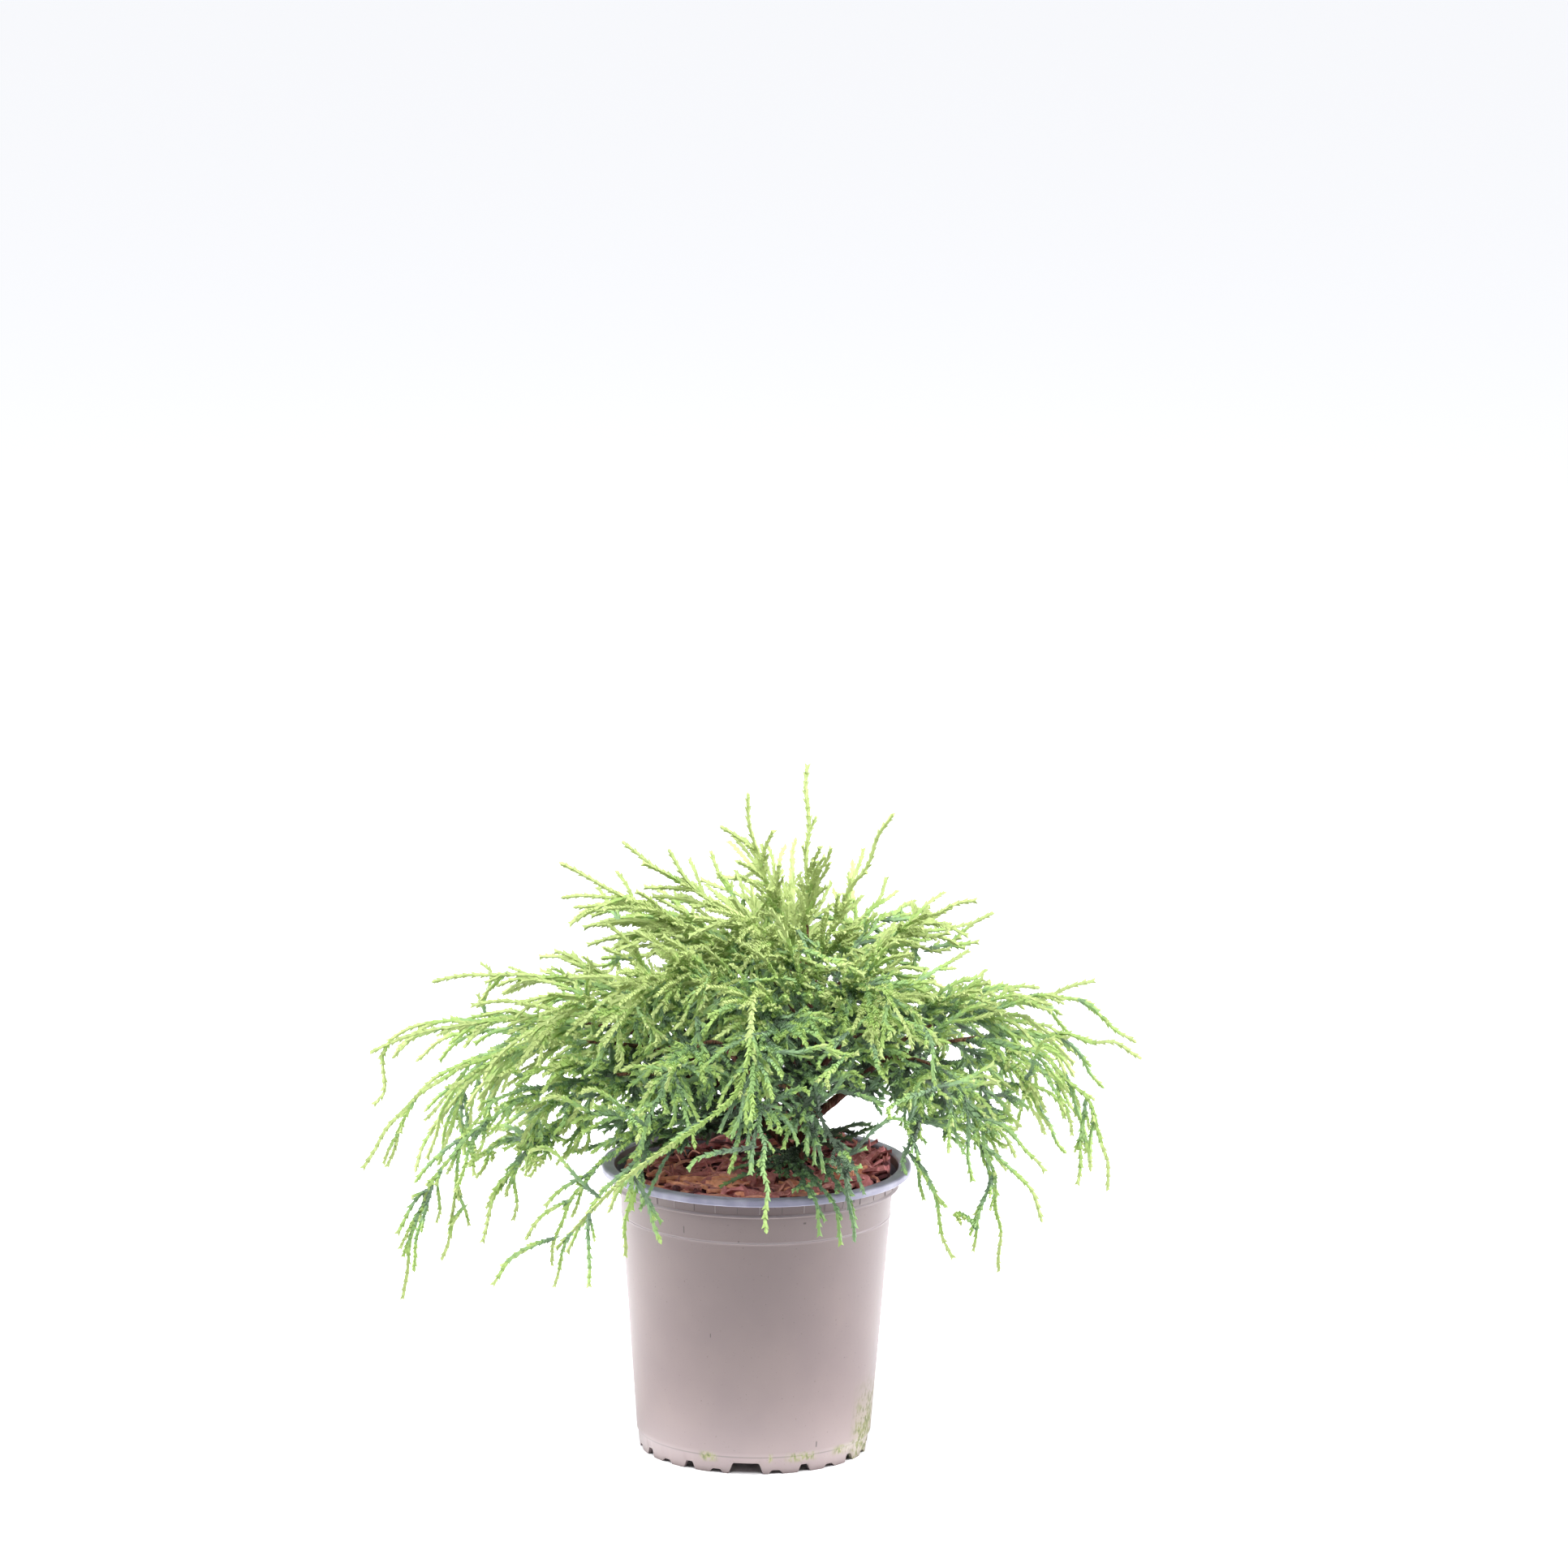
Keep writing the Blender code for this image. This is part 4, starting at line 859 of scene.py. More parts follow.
# %% Stems and limbs
Stem = namedtuple("Stem", "name leaves_at azimuth reach height")
STEMS = (
    Stem("left_stem", 0.184, 176, 0.048, 0.262),
    Stem("right_stem", 0.207, 4, 0.084, 0.250),
    Stem("front_stem", 0.198, 252, 0.058, 0.262),
    Stem("back_stem", 0.216, 84, 0.070, 0.262),
)
# A limb leaves its stem at a share of its length. azimuth, reach and tip say where its furthest point is,
# arch how high it arches, and hang how far out it goes before it turns down. spray is the length of the
# longest sprays on it, and bough the length of bare wood at its foot.
Limb = namedtuple("Limb", "name stem share azimuth reach arch tip hang spray bough")
LIMBS = (
    Limb("leader", "trunk", 1.00, 0, 0.0286, 0.395, 0.4250, 0.75, 0.045, 0),
    Limb("top_right", "trunk", 0.93, 350, 0.0800, 0.350, 0.3990, 0.60, 0.045, 0),
    Limb("top_middle", "trunk", 0.93, 215, 0.0100, 0.345, 0.4080, 0.80, 0.040, 0),
    Limb("top_left", "trunk", 0.89, 172, 0.0830, 0.345, 0.3740, 0.70, 0.060, 0),
    Limb("top_back", "trunk", 0.86, 100, 0.1100, 0.350, 0.3550, 0.75, 0.065, 0),
    Limb("top_front", "trunk", 0.83, 250, 0.0900, 0.348, 0.3550, 0.75, 0.060, 0),
    Limb("upper_left", "trunk", 0.79, 190, 0.1200, 0.330, 0.3680, 0.60, 0.065, 0),
    Limb("upper_right", "trunk", 0.76, 8, 0.1320, 0.330, 0.3400, 0.75, 0.065, 0),
    Limb("upper_back_left", "trunk", 0.71, 136, 0.1600, 0.335, 0.3050, 0.85, 0.075, 0),
    Limb("upper_back_right", "trunk", 0.68, 48, 0.1650, 0.335, 0.3000, 0.85, 0.075, 0),
    Limb("upper_front_left", "trunk", 0.65, 226, 0.1500, 0.325, 0.2900, 0.80, 0.075, 0),
    Limb("upper_front_right", "trunk", 0.62, 308, 0.1500, 0.322, 0.2800, 0.80, 0.075, 0),
    Limb("middle_front", "trunk", 0.57, 268, 0.1650, 0.305, 0.2450, 0.90, 0.075, 0.030),
    Limb("middle_right", "trunk", 0.53, 352, 0.1700, 0.292, 0.2600, 0.80, 0.070, 0.030),
    Limb("middle_left", "trunk", 0.50, 200, 0.1750, 0.300, 0.2450, 0.85, 0.075, 0.030),
    Limb("inner_back", "trunk", 0.46, 70, 0.1300, 0.262, 0.2250, 0.85, 0.060, 0),
    Limb("inner_front", "trunk", 0.40, 285, 0.1200, 0.245, 0.2150, 0.85, 0.060, 0),
    Limb("inner_left", "trunk", 0.34, 148, 0.1300, 0.235, 0.2050, 0.85, 0.060, 0),
    Limb("inner_right", "trunk", 0.37, 20, 0.1350, 0.240, 0.2250, 0.85, 0.055, 0),
    Limb("left_high", "left_stem", 1.00, 177, 0.1970, 0.297, 0.2880, 0.80, 0.070, 0),
    Limb("left_middle", "left_stem", 0.88, 184, 0.2345, 0.275, 0.2500, 0.75, 0.070, 0.030),
    Limb("left_low", "left_stem", 0.74, 194, 0.2440, 0.272, 0.1880, 0.82, 0.075, 0.030),
    Limb("left_weeping", "left_stem", 0.56, 205, 0.2330, 0.256, 0.1180, 0.98, 0.075, 0.030),
    Limb("left_back", "left_stem", 0.66, 152, 0.2250, 0.268, 0.1500, 0.92, 0.080, 0.030),
    Limb("right_high", "right_stem", 1.00, 4, 0.2045, 0.276, 0.2910, 0.75, 0.065, 0),
    Limb("right_middle", "right_stem", 0.88, 357, 0.2325, 0.268, 0.2520, 0.75, 0.065, 0.030),
    Limb("right_low", "right_stem", 0.74, 346, 0.2200, 0.280, 0.1790, 0.98, 0.070, 0.030),
    Limb("right_weeping", "right_stem", 0.58, 326, 0.1780, 0.272, 0.1400, 0.98, 0.070, 0.030),
    Limb("right_back", "right_stem", 0.66, 34, 0.2150, 0.272, 0.1700, 0.95, 0.080, 0.030),
    Limb("front_spray", "front_stem", 1.00, 243, 0.1720, 0.266, 0.1600, 0.90, 0.070, 0),
    Limb("front_drape", "front_stem", 0.80, 272, 0.2050, 0.262, 0.1900, 0.90, 0.065, 0.030),
    Limb("front_right", "front_stem", 0.62, 292, 0.1560, 0.250, 0.1680, 0.95, 0.060, 0.030),
    Limb("front_low", "front_stem", 0.40, 224, 0.1700, 0.225, 0.1450, 0.92, 0.070, 0.025),
    Limb("back_middle", "back_stem", 1.00, 88, 0.2050, 0.290, 0.2200, 0.90, 0.080, 0),
    Limb("back_left", "back_stem", 0.80, 120, 0.2150, 0.270, 0.1600, 0.95, 0.080, 0.030),
    Limb("back_right", "back_stem", 0.66, 60, 0.2100, 0.265, 0.1750, 0.95, 0.080, 0.030),
)


# %% Curves through space
def bezier(a, b, c, d, steps):
    """Points along a cubic curve from a to d."""
    points = []
    for i in range(steps + 1):
        t = i / steps
        u = 1 - t
        points.append(a * u ** 3 + b * (3 * u * u * t) + c * (3 * u * t * t) + d * t ** 3)
    return points


class Path:
    """A line through points that can be read by the distance along it."""

    def __init__(self, points):
        self.points = points
        self.along = [0.0]
        for a, b in zip(points, points[1:]):
            self.along.append(self.along[-1] + (b - a).length)
        self.length = self.along[-1]

    def at(self, distance):
        distance = min(max(distance, 0.0), self.length)
        for i in range(len(self.points) - 1):
            if distance <= self.along[i + 1]:
                span = self.along[i + 1] - self.along[i]
                return self.points[i].lerp(self.points[i + 1], (distance - self.along[i]) / span)
        return self.points[-1].copy()

    def heading(self, distance):
        return (self.at(distance + HEADING_STEP) - self.at(distance - HEADING_STEP)).normalized()

    def between(self, start, end, count):
        """Evenly spaced points from one distance to another, both ends among them."""
        return [self.at(start + (end - start) * i / (count - 1)) for i in range(count)]


# %% Axes of the trunk, the stems and the limbs
def trunk_path():
    foot = Vector((TRUNK_FOOT.x, TRUNK_FOOT.y, COMPOST_TOP + GAP))
    third = (TRUNK_TIP - foot) / 3
    return Path(bezier(foot, foot + third + TRUNK_BOW, foot + 2 * third + TRUNK_BOW, TRUNK_TIP, PATH_STEPS))


def trunk_radius(path, distance):
    """Radius of the trunk at a distance up it, with the root flare at its foot."""
    taper = TRUNK_RADIUS + (TRUNK_TIP_RADIUS - TRUNK_RADIUS) * distance / path.length
    flare = max(0.0, 1 - distance / FLARE_HEIGHT) ** 2
    return taper + (FLARE_RADIUS - TRUNK_RADIUS) * flare


def leave(parent, distance, parent_radius, target, own_radius):
    """Where a limb starts: beside its parent, just clear of the bark, on the side that it grows towards."""
    root = parent.at(distance)
    along = parent.heading(distance)
    heading = (target - root).normalized()
    lean = heading.dot(along)
    side = (heading - along * lean).normalized()
    return root + side * (parent_radius + GAP + own_radius * abs(lean))


def stem_paths(trunk):
    paths = {}
    for stem in STEMS:
        distance = stem.leaves_at - COMPOST_TOP
        tip = polar(stem.azimuth, stem.reach, stem.height)
        rise = trunk.at(distance).lerp(tip, 0.5) - Vector((0, 0, STEM_SAG))
        start = leave(trunk, distance, trunk_radius(trunk, distance), rise, STEM_RADIUS)
        paths[stem.name] = Path(bezier(start, start.lerp(rise, 0.6), rise.lerp(tip, 0.3), tip, PATH_STEPS))
    return paths


def limb_path(limb, trunk, stems):
    """The whole axis of a limb, from its stem out to the furthest tip of its foliage."""
    parent = stems.get(limb.stem, trunk)
    tip = polar(limb.azimuth, limb.reach, limb.tip)
    distance = parent.length * limb.share
    root = parent.at(distance)
    span = Vector((tip.x - root.x, tip.y - root.y, 0))
    rising = root + span * RISE_SPAN
    rising.z = root.z + (limb.arch - root.z) * RISE
    over = root + span * limb.hang
    over.z = limb.arch
    if limb.share == 1.0:
        start = root + parent.heading(distance) * GAP
        rising = root + parent.heading(distance) * span.length * RISE_SPAN
    else:
        radius = STEM_RADIUS + (STEM_TIP_RADIUS - STEM_RADIUS) * limb.share
        if parent is trunk:
            radius = trunk_radius(trunk, distance)
        start = leave(parent, distance, radius, rising, BOUGH_RADIUS if limb.bough else CORD_FOOT_RADIUS)
    return Path(bezier(start, rising, over, tip, PATH_STEPS))


TRUNK = trunk_path()
STEM_PATHS = stem_paths(TRUNK)
LIMB_PATHS = {limb.name: limb_path(limb, TRUNK, STEM_PATHS) for limb in LIMBS}
print(len(LIMB_PATHS), "limbs,", round(sum(path.length for path in LIMB_PATHS.values()), 2), "m of them")


# %% Lines that carry a radius
Line = namedtuple("Line", "points girths glows")


def line_mesh(lines):
    """All the lines as one mesh of edges, with a radius and a brightness on each point."""
    corners, edges, girths, glows = [], [], [], []
    for line in lines:
        first = len(corners)
        corners.extend(tuple(point) for point in line.points)
        girths.extend(line.girths)
        glows.extend(line.glows)
        edges.extend((first + i, first + i + 1) for i in range(len(line.points) - 1))
    mesh = bpy.data.meshes.new("lines")
    mesh.from_pydata(corners, edges, [])
    for name, values in (("girth", girths), ("glow", glows)):
        mesh.attributes.new(name, "FLOAT", "POINT").data.foreach_set("value", values)
    return mesh


def limb_tree():
    tree = Pattern("bark_on_limbs", Sides="Int", Step="Float", Relief="Float", Grain="Float",
                   Finish="Material")
    curve = tree.node("GeometryNodeMeshToCurve", values={0: tree.take("Start")})
    fine = tree.node("GeometryNodeResampleCurve", {"mode": "LENGTH"}, {0: curve, "Length": tree.take("Step")})
    ring = tree.node("GeometryNodeCurvePrimitiveCircle", values={"Resolution": tree.take("Sides"), 4: 1.0})
    values = {0: fine, "Profile Curve": ring, "Scale": tree.attribute("girth"), "Fill Caps": True}
    tube = tree.node("GeometryNodeCurveToMesh", values=values)
    place = tree.node("GeometryNodeInputPosition")
    along = tree.node("ShaderNodeVectorMath", {"operation": "MULTIPLY"}, {0: place, 1: (1.0, 1.0, 0.35)})
    values = {"Vector": along, "Scale": tree.take("Grain"), "Detail": 3.0}
    flakes = tree.node("ShaderNodeTexNoise", values=values)
    depth = (flakes - 0.5) * tree.take("Relief")
    values = {0: tree.node("GeometryNodeInputNormal"), "Scale": depth}
    out = tree.node("ShaderNodeVectorMath", {"operation": "SCALE"}, values)
    tree.end(tree.node("GeometryNodeSetPosition", values={0: tube, "Offset": out}))
    return tree


# %% [markdown]
# Bark on a young cypress is thin, red-brown and fibrous, with paler strips where it lifts. Noise that is
# stretched along the wood gives both the colour and the relief.


# %% Bark
def bark_finish(name, dark, red, pale):
    finish = Finish(name, red, 0.85, specular=0.25)
    point = finish.place()[0]
    strips = finish.noise(finish.stretched(point, (1.0, 1.0, 0.22)), 520.0, 4.0)
    colour = finish.blend(strips.ramp(0.38, 0.55), dark, red)
    finish.feed("Base Color", finish.blend(strips.ramp(0.56, 0.70), colour, pale))
    finish.relief(strips, 0.0006)
    return finish


BARK = bark_finish("bark_on_wood", (0.035, 0.016, 0.012), (0.130, 0.050, 0.036), (0.260, 0.150, 0.110))
TWIG_BARK = bark_finish("bark_on_twigs", (0.040, 0.022, 0.014), (0.150, 0.070, 0.042), (0.190, 0.140, 0.070))
LIMB_TREE = limb_tree()
TRUNK_MARKS, BARK_STEP, BARK_GRAIN = 30, 0.0016, 420.0


def tapering(first, last, count):
    """Radii from first to last, one for each point."""
    return [first + (last - first) * i / (count - 1) for i in range(count)]


def wooden(path, start, end, first, last, count):
    """A line of wood along a path, with its radius at both ends."""
    return Line(path.between(start, end, count), tapering(first, last, count), [0.0] * count)


def wood_piece(name, lines, sides, relief, finish, *nodes):
    mesh = LIMB_TREE.run(name, line_mesh(lines), Sides=sides, Step=BARK_STEP, Relief=relief,
                         Grain=BARK_GRAIN, Finish=finish.material)
    piece(name, mesh, "wood", *nodes)


marks = [TRUNK.length * i / TRUNK_MARKS for i in range(TRUNK_MARKS + 1)]
trunk_radii = [trunk_radius(TRUNK, mark) for mark in marks]
trunk_line = Line([TRUNK.at(mark) for mark in marks], trunk_radii, [0.0] * len(marks))
wood_piece("trunk_bark", [trunk_line], 14, 0.0020, BARK, "trunk")
stem_lines = [wooden(path, 0, path.length, STEM_RADIUS, STEM_TIP_RADIUS, 16) for path in STEM_PATHS.values()]
wood_piece("stem_bark", stem_lines, 10, 0.0014, BARK, *STEM_PATHS)
with_bough = [limb for limb in LIMBS if limb.bough]
bough_lines = [wooden(LIMB_PATHS[limb.name], 0, limb.bough, BOUGH_RADIUS, BOUGH_TIP_RADIUS, 8)
               for limb in with_bough]
wood_piece("bough_bark", bough_lines, 8, 0.0009, BARK, *[limb.name + "_bough" for limb in with_bough])

# %% [markdown]
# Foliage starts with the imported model's own sprays. Each mass there is a cord with sprays on both sides,
# which stand for finer threads. Their draws are repeated here exactly, with the same seed and the same
# test for room, so that every spray of threads grows where the solid one is.


# %% Room for each mass
def clear_of_pot(point):
    """True where a thread clears the rim, the bark and the pot's side."""
    radius = math.hypot(point.x, point.y)
    if radius < RIM_RADIUS - RIM_FLANGE - INNER_MARGIN:
        return point.z > MULCH_CLEAR
    if radius < RIM_RADIUS + RIM_MARGIN:
        return point.z > RIM_TOP + RIM_MARGIN
    return point.z > GROUND_MARGIN


def within_crown(point):
    """True where a point is under the crown's outline."""
    radius = math.hypot(point.x, point.y)
    for (near, near_top), (far, far_top) in zip(CROWN_PROFILE, CROWN_PROFILE[1:]):
        if radius <= far:
            return point.z < near_top + (far_top - near_top) * (radius - near) / (far - near)
    return False


class Space:
    """The room that each mass keeps to: the points nearer to its own limb than to any other."""

    def __init__(self, limbs, wood):
        self.index = {name: k for k, name in enumerate(limbs)}
        rows = [path.between(0, path.length, SAMPLES) for path in limbs.values()]
        self.limbs = np.array([[tuple(point) for point in row] for row in rows])
        self.wood = np.array([tuple(p) for path in wood for p in path.between(0, path.length, SAMPLES)])

    def holds(self, name, point, overlap=-SPACE_MARGIN):
        if not clear_of_pot(point) or not within_crown(point):
            return False
        here = np.array(tuple(point))
        if np.linalg.norm(self.wood - here, axis=1).min() < WOOD_MARGIN:
            return False
        gaps = np.linalg.norm(self.limbs - here, axis=2).min(axis=1)
        own = gaps[self.index[name]]
        return np.sort(gaps)[1 if own == gaps.min() else 0] - own > -overlap


# the opening to the right of the trunk, seen along the camera's line: its middle and half sizes
WINDOW = (0.0540, 0.2090, 0.0190, 0.0115)
LINE_OF_SIGHT = math.radians(CAMERA_ELEVATION)


def seen_height(y, z):
    """Height at which the camera sees a place, from how far away it is and how high."""
    return z * math.cos(LINE_OF_SIGHT) + y * math.sin(LINE_OF_SIGHT)


def in_window(point):
    """True where a thread would close the opening beside the trunk."""
    seen = seen_height(point.y, point.z)
    return ((point.x - WINDOW[0]) / WINDOW[2]) ** 2 + ((seen - WINDOW[1]) / WINDOW[3]) ** 2 < 1.0


SPACE = Space(LIMB_PATHS, [TRUNK, *STEM_PATHS.values()])


# %% Side shoots
def side_shoot(start, heading, length, sag, steps):
    """The axis of a spray that leaves at its heading and sinks as it grows."""
    points = [start.copy()]
    for i in range(steps):
        heading = (heading + Vector((0, 0, -sag * (i + 0.5) / steps))).normalized()
        points.append(points[-1] + heading * (length / steps))
    return points


def level_side(heading):
    """The level direction to the side of a heading."""
    level = heading.cross(Vector((0, 0, 1)))
    if level.length < UPRIGHT:
        level = heading.cross(Vector((0, 1, 0)))
    return level.normalized()


def side_heading(forward, side, angle, tilt):
    """The heading of a shoot that leaves its parent at an angle, in a plane that is tilted from level."""
    out = Matrix.Rotation(math.radians(tilt), 3, forward) @ level_side(forward) * side
    turn = math.radians(angle)
    return (forward * math.cos(turn) + out * math.sin(turn)).normalized()


def blade_reach(points, roll):
    """The points of a solid spray that reach furthest out: its axis and the tips of its teeth."""
    teeth = []
    heading = (points[1] - points[0]).normalized()
    across = Matrix.Rotation(math.radians(roll), 3, heading) @ level_side(heading)
    for i, point in enumerate(points[:-1]):
        ahead = (points[i + 1] - points[max(i - 1, 0)]).normalized()
        across = (heading.rotation_difference(ahead) @ across).normalized()
        heading = ahead
        share = i / (len(points) - 1)
        thick = SPRAY_THICKNESS + (SPRAY_TIP_THICKNESS - SPRAY_THICKNESS) * share
        if i == 0:
            thick *= BLADE_FOOT
        side = 1 if i % 2 else -1
        under = point - across.cross(heading) * thick / 2
        forward = heading * (points[i + 1] - point).length * TOOTH_LEAN
        teeth.append(under + forward + across * side * SPRAY_REACH * (1 - BLADE_NARROWING * share))
    halfway = [a.lerp(b, 0.5) for a, b in zip(points[1:], points[2:])]
    return points[1:] + halfway + teeth[:-1]


def solid_sprays(limb, path, number):
    """A mass's cord, how much its sprays sag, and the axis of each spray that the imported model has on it."""
    rng = random.Random(SEED + 31 * number)
    rng.uniform(-BLADE_ROLL, BLADE_ROLL)
    start = limb.bough + GAP if limb.bough else 0.0
    run = path.length - start
    rows = max(CORD_ROWS, round(run / CORD_STEP) + 1)
    core = Path([path.at(start)] + path.between(start + CORD_FOOT, path.length, rows))
    weeping = min(max((ARCH_HIGH - limb.arch) / (ARCH_HIGH - ARCH_LOW), 0.0), 1.0)
    sag = SPRAY_SAG_HIGH + (SPRAY_SAG_LOW - SPRAY_SAG_HIGH) * weeping
    sprays = []
    count = round(run / SPRAY_SPACING)
    for k in range(count):
        share = SPRAY_FIRST + SPRAY_RUN * (k + rng.uniform(-SPRAY_JITTER, SPRAY_JITTER)) / count
        distance = core.length * max(share, SPRAY_NEAREST)
        length = limb.spray * (SPRAY_LENGTH - SPRAY_SHORTENING * share) * rng.uniform(*SPRAY_SPREAD)
        length = min(length, SPRAY_OVERRUN * (core.length - distance))
        for attempt in range(SPRAY_ATTEMPTS):
            side = 1 if (k + attempt // 2) % 2 else -1
            roll = rng.uniform(-SPRAY_ROLL, SPRAY_ROLL)
            angle = SPRAY_ANGLE * rng.uniform(*SPRAY_ANGLE_SPREAD)
            heading = side_heading(core.heading(distance), side, angle, roll * side)
            axis = side_shoot(core.at(distance), heading, length, sag, max(2, round(length / SPRAY_STEP)))
            blade_roll = rng.uniform(-BLADE_ROLL, BLADE_ROLL)
            if all(SPACE.holds(limb.name, point) for point in blade_reach(axis, blade_roll)):
                sprays.append(axis)
                break
            length *= SPRAY_RETRY
    return core, sag, sprays


# %% [markdown]
# From those sprays the rule goes on to finer growth. A thread is a whip: it carries short alternate sprigs,
# flat like a feather, over its inner part, and runs on bare to its tip. Whips give off more whips at a
# narrow angle. Growth is thick in the middle of the crown and thin towards its outline, where single whips
# stand against the sky. The brightness of a point is partly the plant's own colour and partly painted light
# and shade: this cypress is lime yellow at its young tips, and its leaves get painted light high on the crown
# and a painted shade of deep green deep inside it.

# %% Sizes of the threads
WHIP_RADIUS, WHIP_TIP_RADIUS = 0.00148, 0.00138
SPRIG_RADIUS, SPRIG_TIP_RADIUS = 0.00120, 0.00118
CORD_RADIUS, CORD_TIP_RADIUS, STOUT_RADIUS = 0.00160, 0.00142, 0.00225
POINT_STEP = 0.006
WHIP_SPACING, WHIP_LENGTH, WHIP_SHORTENING = 0.017, 1.20, 0.60
WHIP_SPREAD, WHIP_ANGLES, WHIP_ROLL = (0.55, 1.15), (18.0, 40.0), 85.0
WHIP_ATTEMPTS, WHIP_OVERLAP, WHIP_SAG, WHIP_STEPS = 3, 0.004, 0.42, 5
WANDER, WANDER_LENGTHS = 0.0011, (0.028, 0.050)
BRANCHING, BRANCH_AT, BRANCH_LENGTH, BRANCH_ANGLES = 0.040, (0.20, 0.60), (0.45, 0.75), (15.0, 30.0)
BRANCH_LEAST, BRANCH_TILT = 0.40, 70.0
# sprigs start at this share of a whip, and are full size on whips of this length
SPRIGS_FROM, FULL_WHIP = 0.08, 0.045
# how far sprigs go along a whip, as shares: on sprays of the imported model, on whips between, on branches
SPRAY_CARRIED, WHIP_CARRIED, BRANCH_CARRIED = 0.62, (0.4, 0.7), (0.35, 0.6)
# the stretch of the cord where whips leave it, as shares, and what is added to the length left to them
WHIPS_AT, WHIP_PAST = (0.04, 0.88), 0.012
# how much younger a branch, the last sprigs on a whip and the finest sprigs are than what bears them
BRANCH_YOUTH, SPRIG_YOUTH, FINE_YOUTH = 0.25, 0.6, 0.1
SPRIG_STEP, SPRIG_ANGLES, SPRIG_FORWARD, SPRIG_SAG = (0.0060, 0.0094), (26.0, 40.0), 0.60, 0.12
SPRIG_LENGTH, SPRIG_SHORTENING, SPRIG_SPREAD = 0.0172, 0.40, (0.55, 1.25)
SPRIG_THINNING, SPRIG_OUTER_LENGTH, SPRIG_BARE = 1.3, 0.70, 0.012
FAN_TILT, FAN_WOBBLE = 45.0, 12.0
FINE_FROM, FINE_STEP, FINE_LENGTH, FINE_RUN = 0.0100, 0.0046, (0.0040, 0.0068), (0.3, 0.8)
# the outer share of the cord that bears leaves, and its end without sprigs
CORD_SHARE, BARE_END = 0.78, 0.034
LEAF_SEED = 911


# %% How thick the growth stands
# the middle and the half sizes of each place where it is thick: the heart, and the low layers at the sides
THICKETS = ((Vector((0.0, 0.0, 0.245)), Vector((0.185, 0.185, 0.125))),
            (Vector((-0.138, -0.010, 0.190)), Vector((0.052, 0.090, 0.032))),
            (Vector((0.128, 0.0, 0.218)), Vector((0.060, 0.090, 0.044))))
THICK_FROM, THICK_TO, THINNEST = 0.60, 1.0, 0.04
# these masses hang free in front of the pot or at the sides, and only so much of each one grows
SPARSE = {"front_spray": 0.5, "front_drape": 0.25, "front_right": 0.35, "front_low": 0.25,
          "right_weeping": 0.5, "right_low": 0.8, "right_high": 0.55, "right_middle": 0.55,
          "left_high": 0.6, "left_middle": 0.4, "left_low": 0.5, "left_weeping": 0.6}


def across(away, sizes):
    """How far off a place is, as a share of the half sizes of an egg shape."""
    return Vector((away.x / sizes.x, away.y / sizes.y, away.z / sizes.z)).length


def thickness(point):
    """1 in the middle of the crown, falling towards its outline."""
    nearest = min(across(point - middle, sizes) for middle, sizes in THICKETS)
    share = (nearest - THICK_FROM) / (THICK_TO - THICK_FROM)
    return 1 + (THINNEST - 1) * min(max(share, 0.0), 1.0)


# %% The stout shoot at the front
STOUT_SHOOT = ((-0.001, -0.118, 0.3115), (-0.005, -0.140, 0.2785), (-0.014, -0.156, 0.2565),
               (-0.038, -0.170, 0.2395), (-0.080, -0.180, 0.2100), (-0.116, -0.182, 0.1715))
STOUT_VIEW, STOUT_VIEW_STEPS, STOUT_DEPTH = 0.0060, 12, 0.008


def stout_view():
    """Places along the stout shoot as they are seen from the front: across, up and away."""
    places = []
    for first, last in zip(STOUT_SHOOT, STOUT_SHOOT[1:]):
        for i in range(STOUT_VIEW_STEPS):
            place = Vector(first).lerp(Vector(last), i / STOUT_VIEW_STEPS)
            places.append((place.x, seen_height(place.y, place.z), place.y))
    return places


STOUT_PLACES = stout_view()


def hides_stout(point):
    """True where a thread would hang in front of the stout shoot."""
    seen = seen_height(point.y, point.z)
    for aside, up, away in STOUT_PLACES:
        in_line = abs(point.x - aside) < STOUT_VIEW and abs(seen - up) < STOUT_VIEW
        if in_line and point.y < away - STOUT_DEPTH:
            return True
    return False


# %% Curved threads
def smooth(points, step):
    """A smooth curve through the points, read at steps of about the same length."""
    ends = [points[0] * 2 - points[1], *points, points[-1] * 2 - points[-2]]
    fine = []
    for a, b, c, d in zip(ends, ends[1:], ends[2:], ends[3:]):
        count = max(1, round((c - b).length / step))
        for i in range(count):
            t = i / count
            fine.append(0.5 * (2 * b + (c - a) * t + (2 * a - 5 * b + 4 * c - d) * t ** 2
                               + (3 * b - a - 3 * c + d) * t ** 3))
    return fine + [points[-1].copy()]


def wandering(points, rng):
    """The points of a thread moved a little from side to side, more and more from its foot."""
    across_it = level_side(points[-1] - points[0])
    phase, length = rng.uniform(0, math.tau), rng.uniform(*WANDER_LENGTHS)
    moved = [points[0]]
    distance = 0.0
    for a, b in zip(points, points[1:]):
        distance += (b - a).length
        sway = WANDER * min(distance / length, 1.0) * math.sin(phase + math.tau * distance / length)
        moved.append(b + across_it * sway + Vector((0, 0, sway * 0.7)))
    return moved


def pulled_shoot(start, heading, length, steps, pull):
    """The axis of a shoot that is bent little by little towards a pull."""
    points = [start.copy()]
    for _ in range(steps):
        heading = (heading + pull / steps).normalized()
        points.append(points[-1] + heading * (length / steps))
    return points


# %% How bright a point of a thread is
GLOW_DEPTH, GLOW_HEIGHT, GLOW_SHARE, GLOW_JITTER = 0.43, 0.18, 0.39, 0.12
# painted light grows with height between these two
GLOW_LOW, GLOW_TOP = 0.200, 0.360
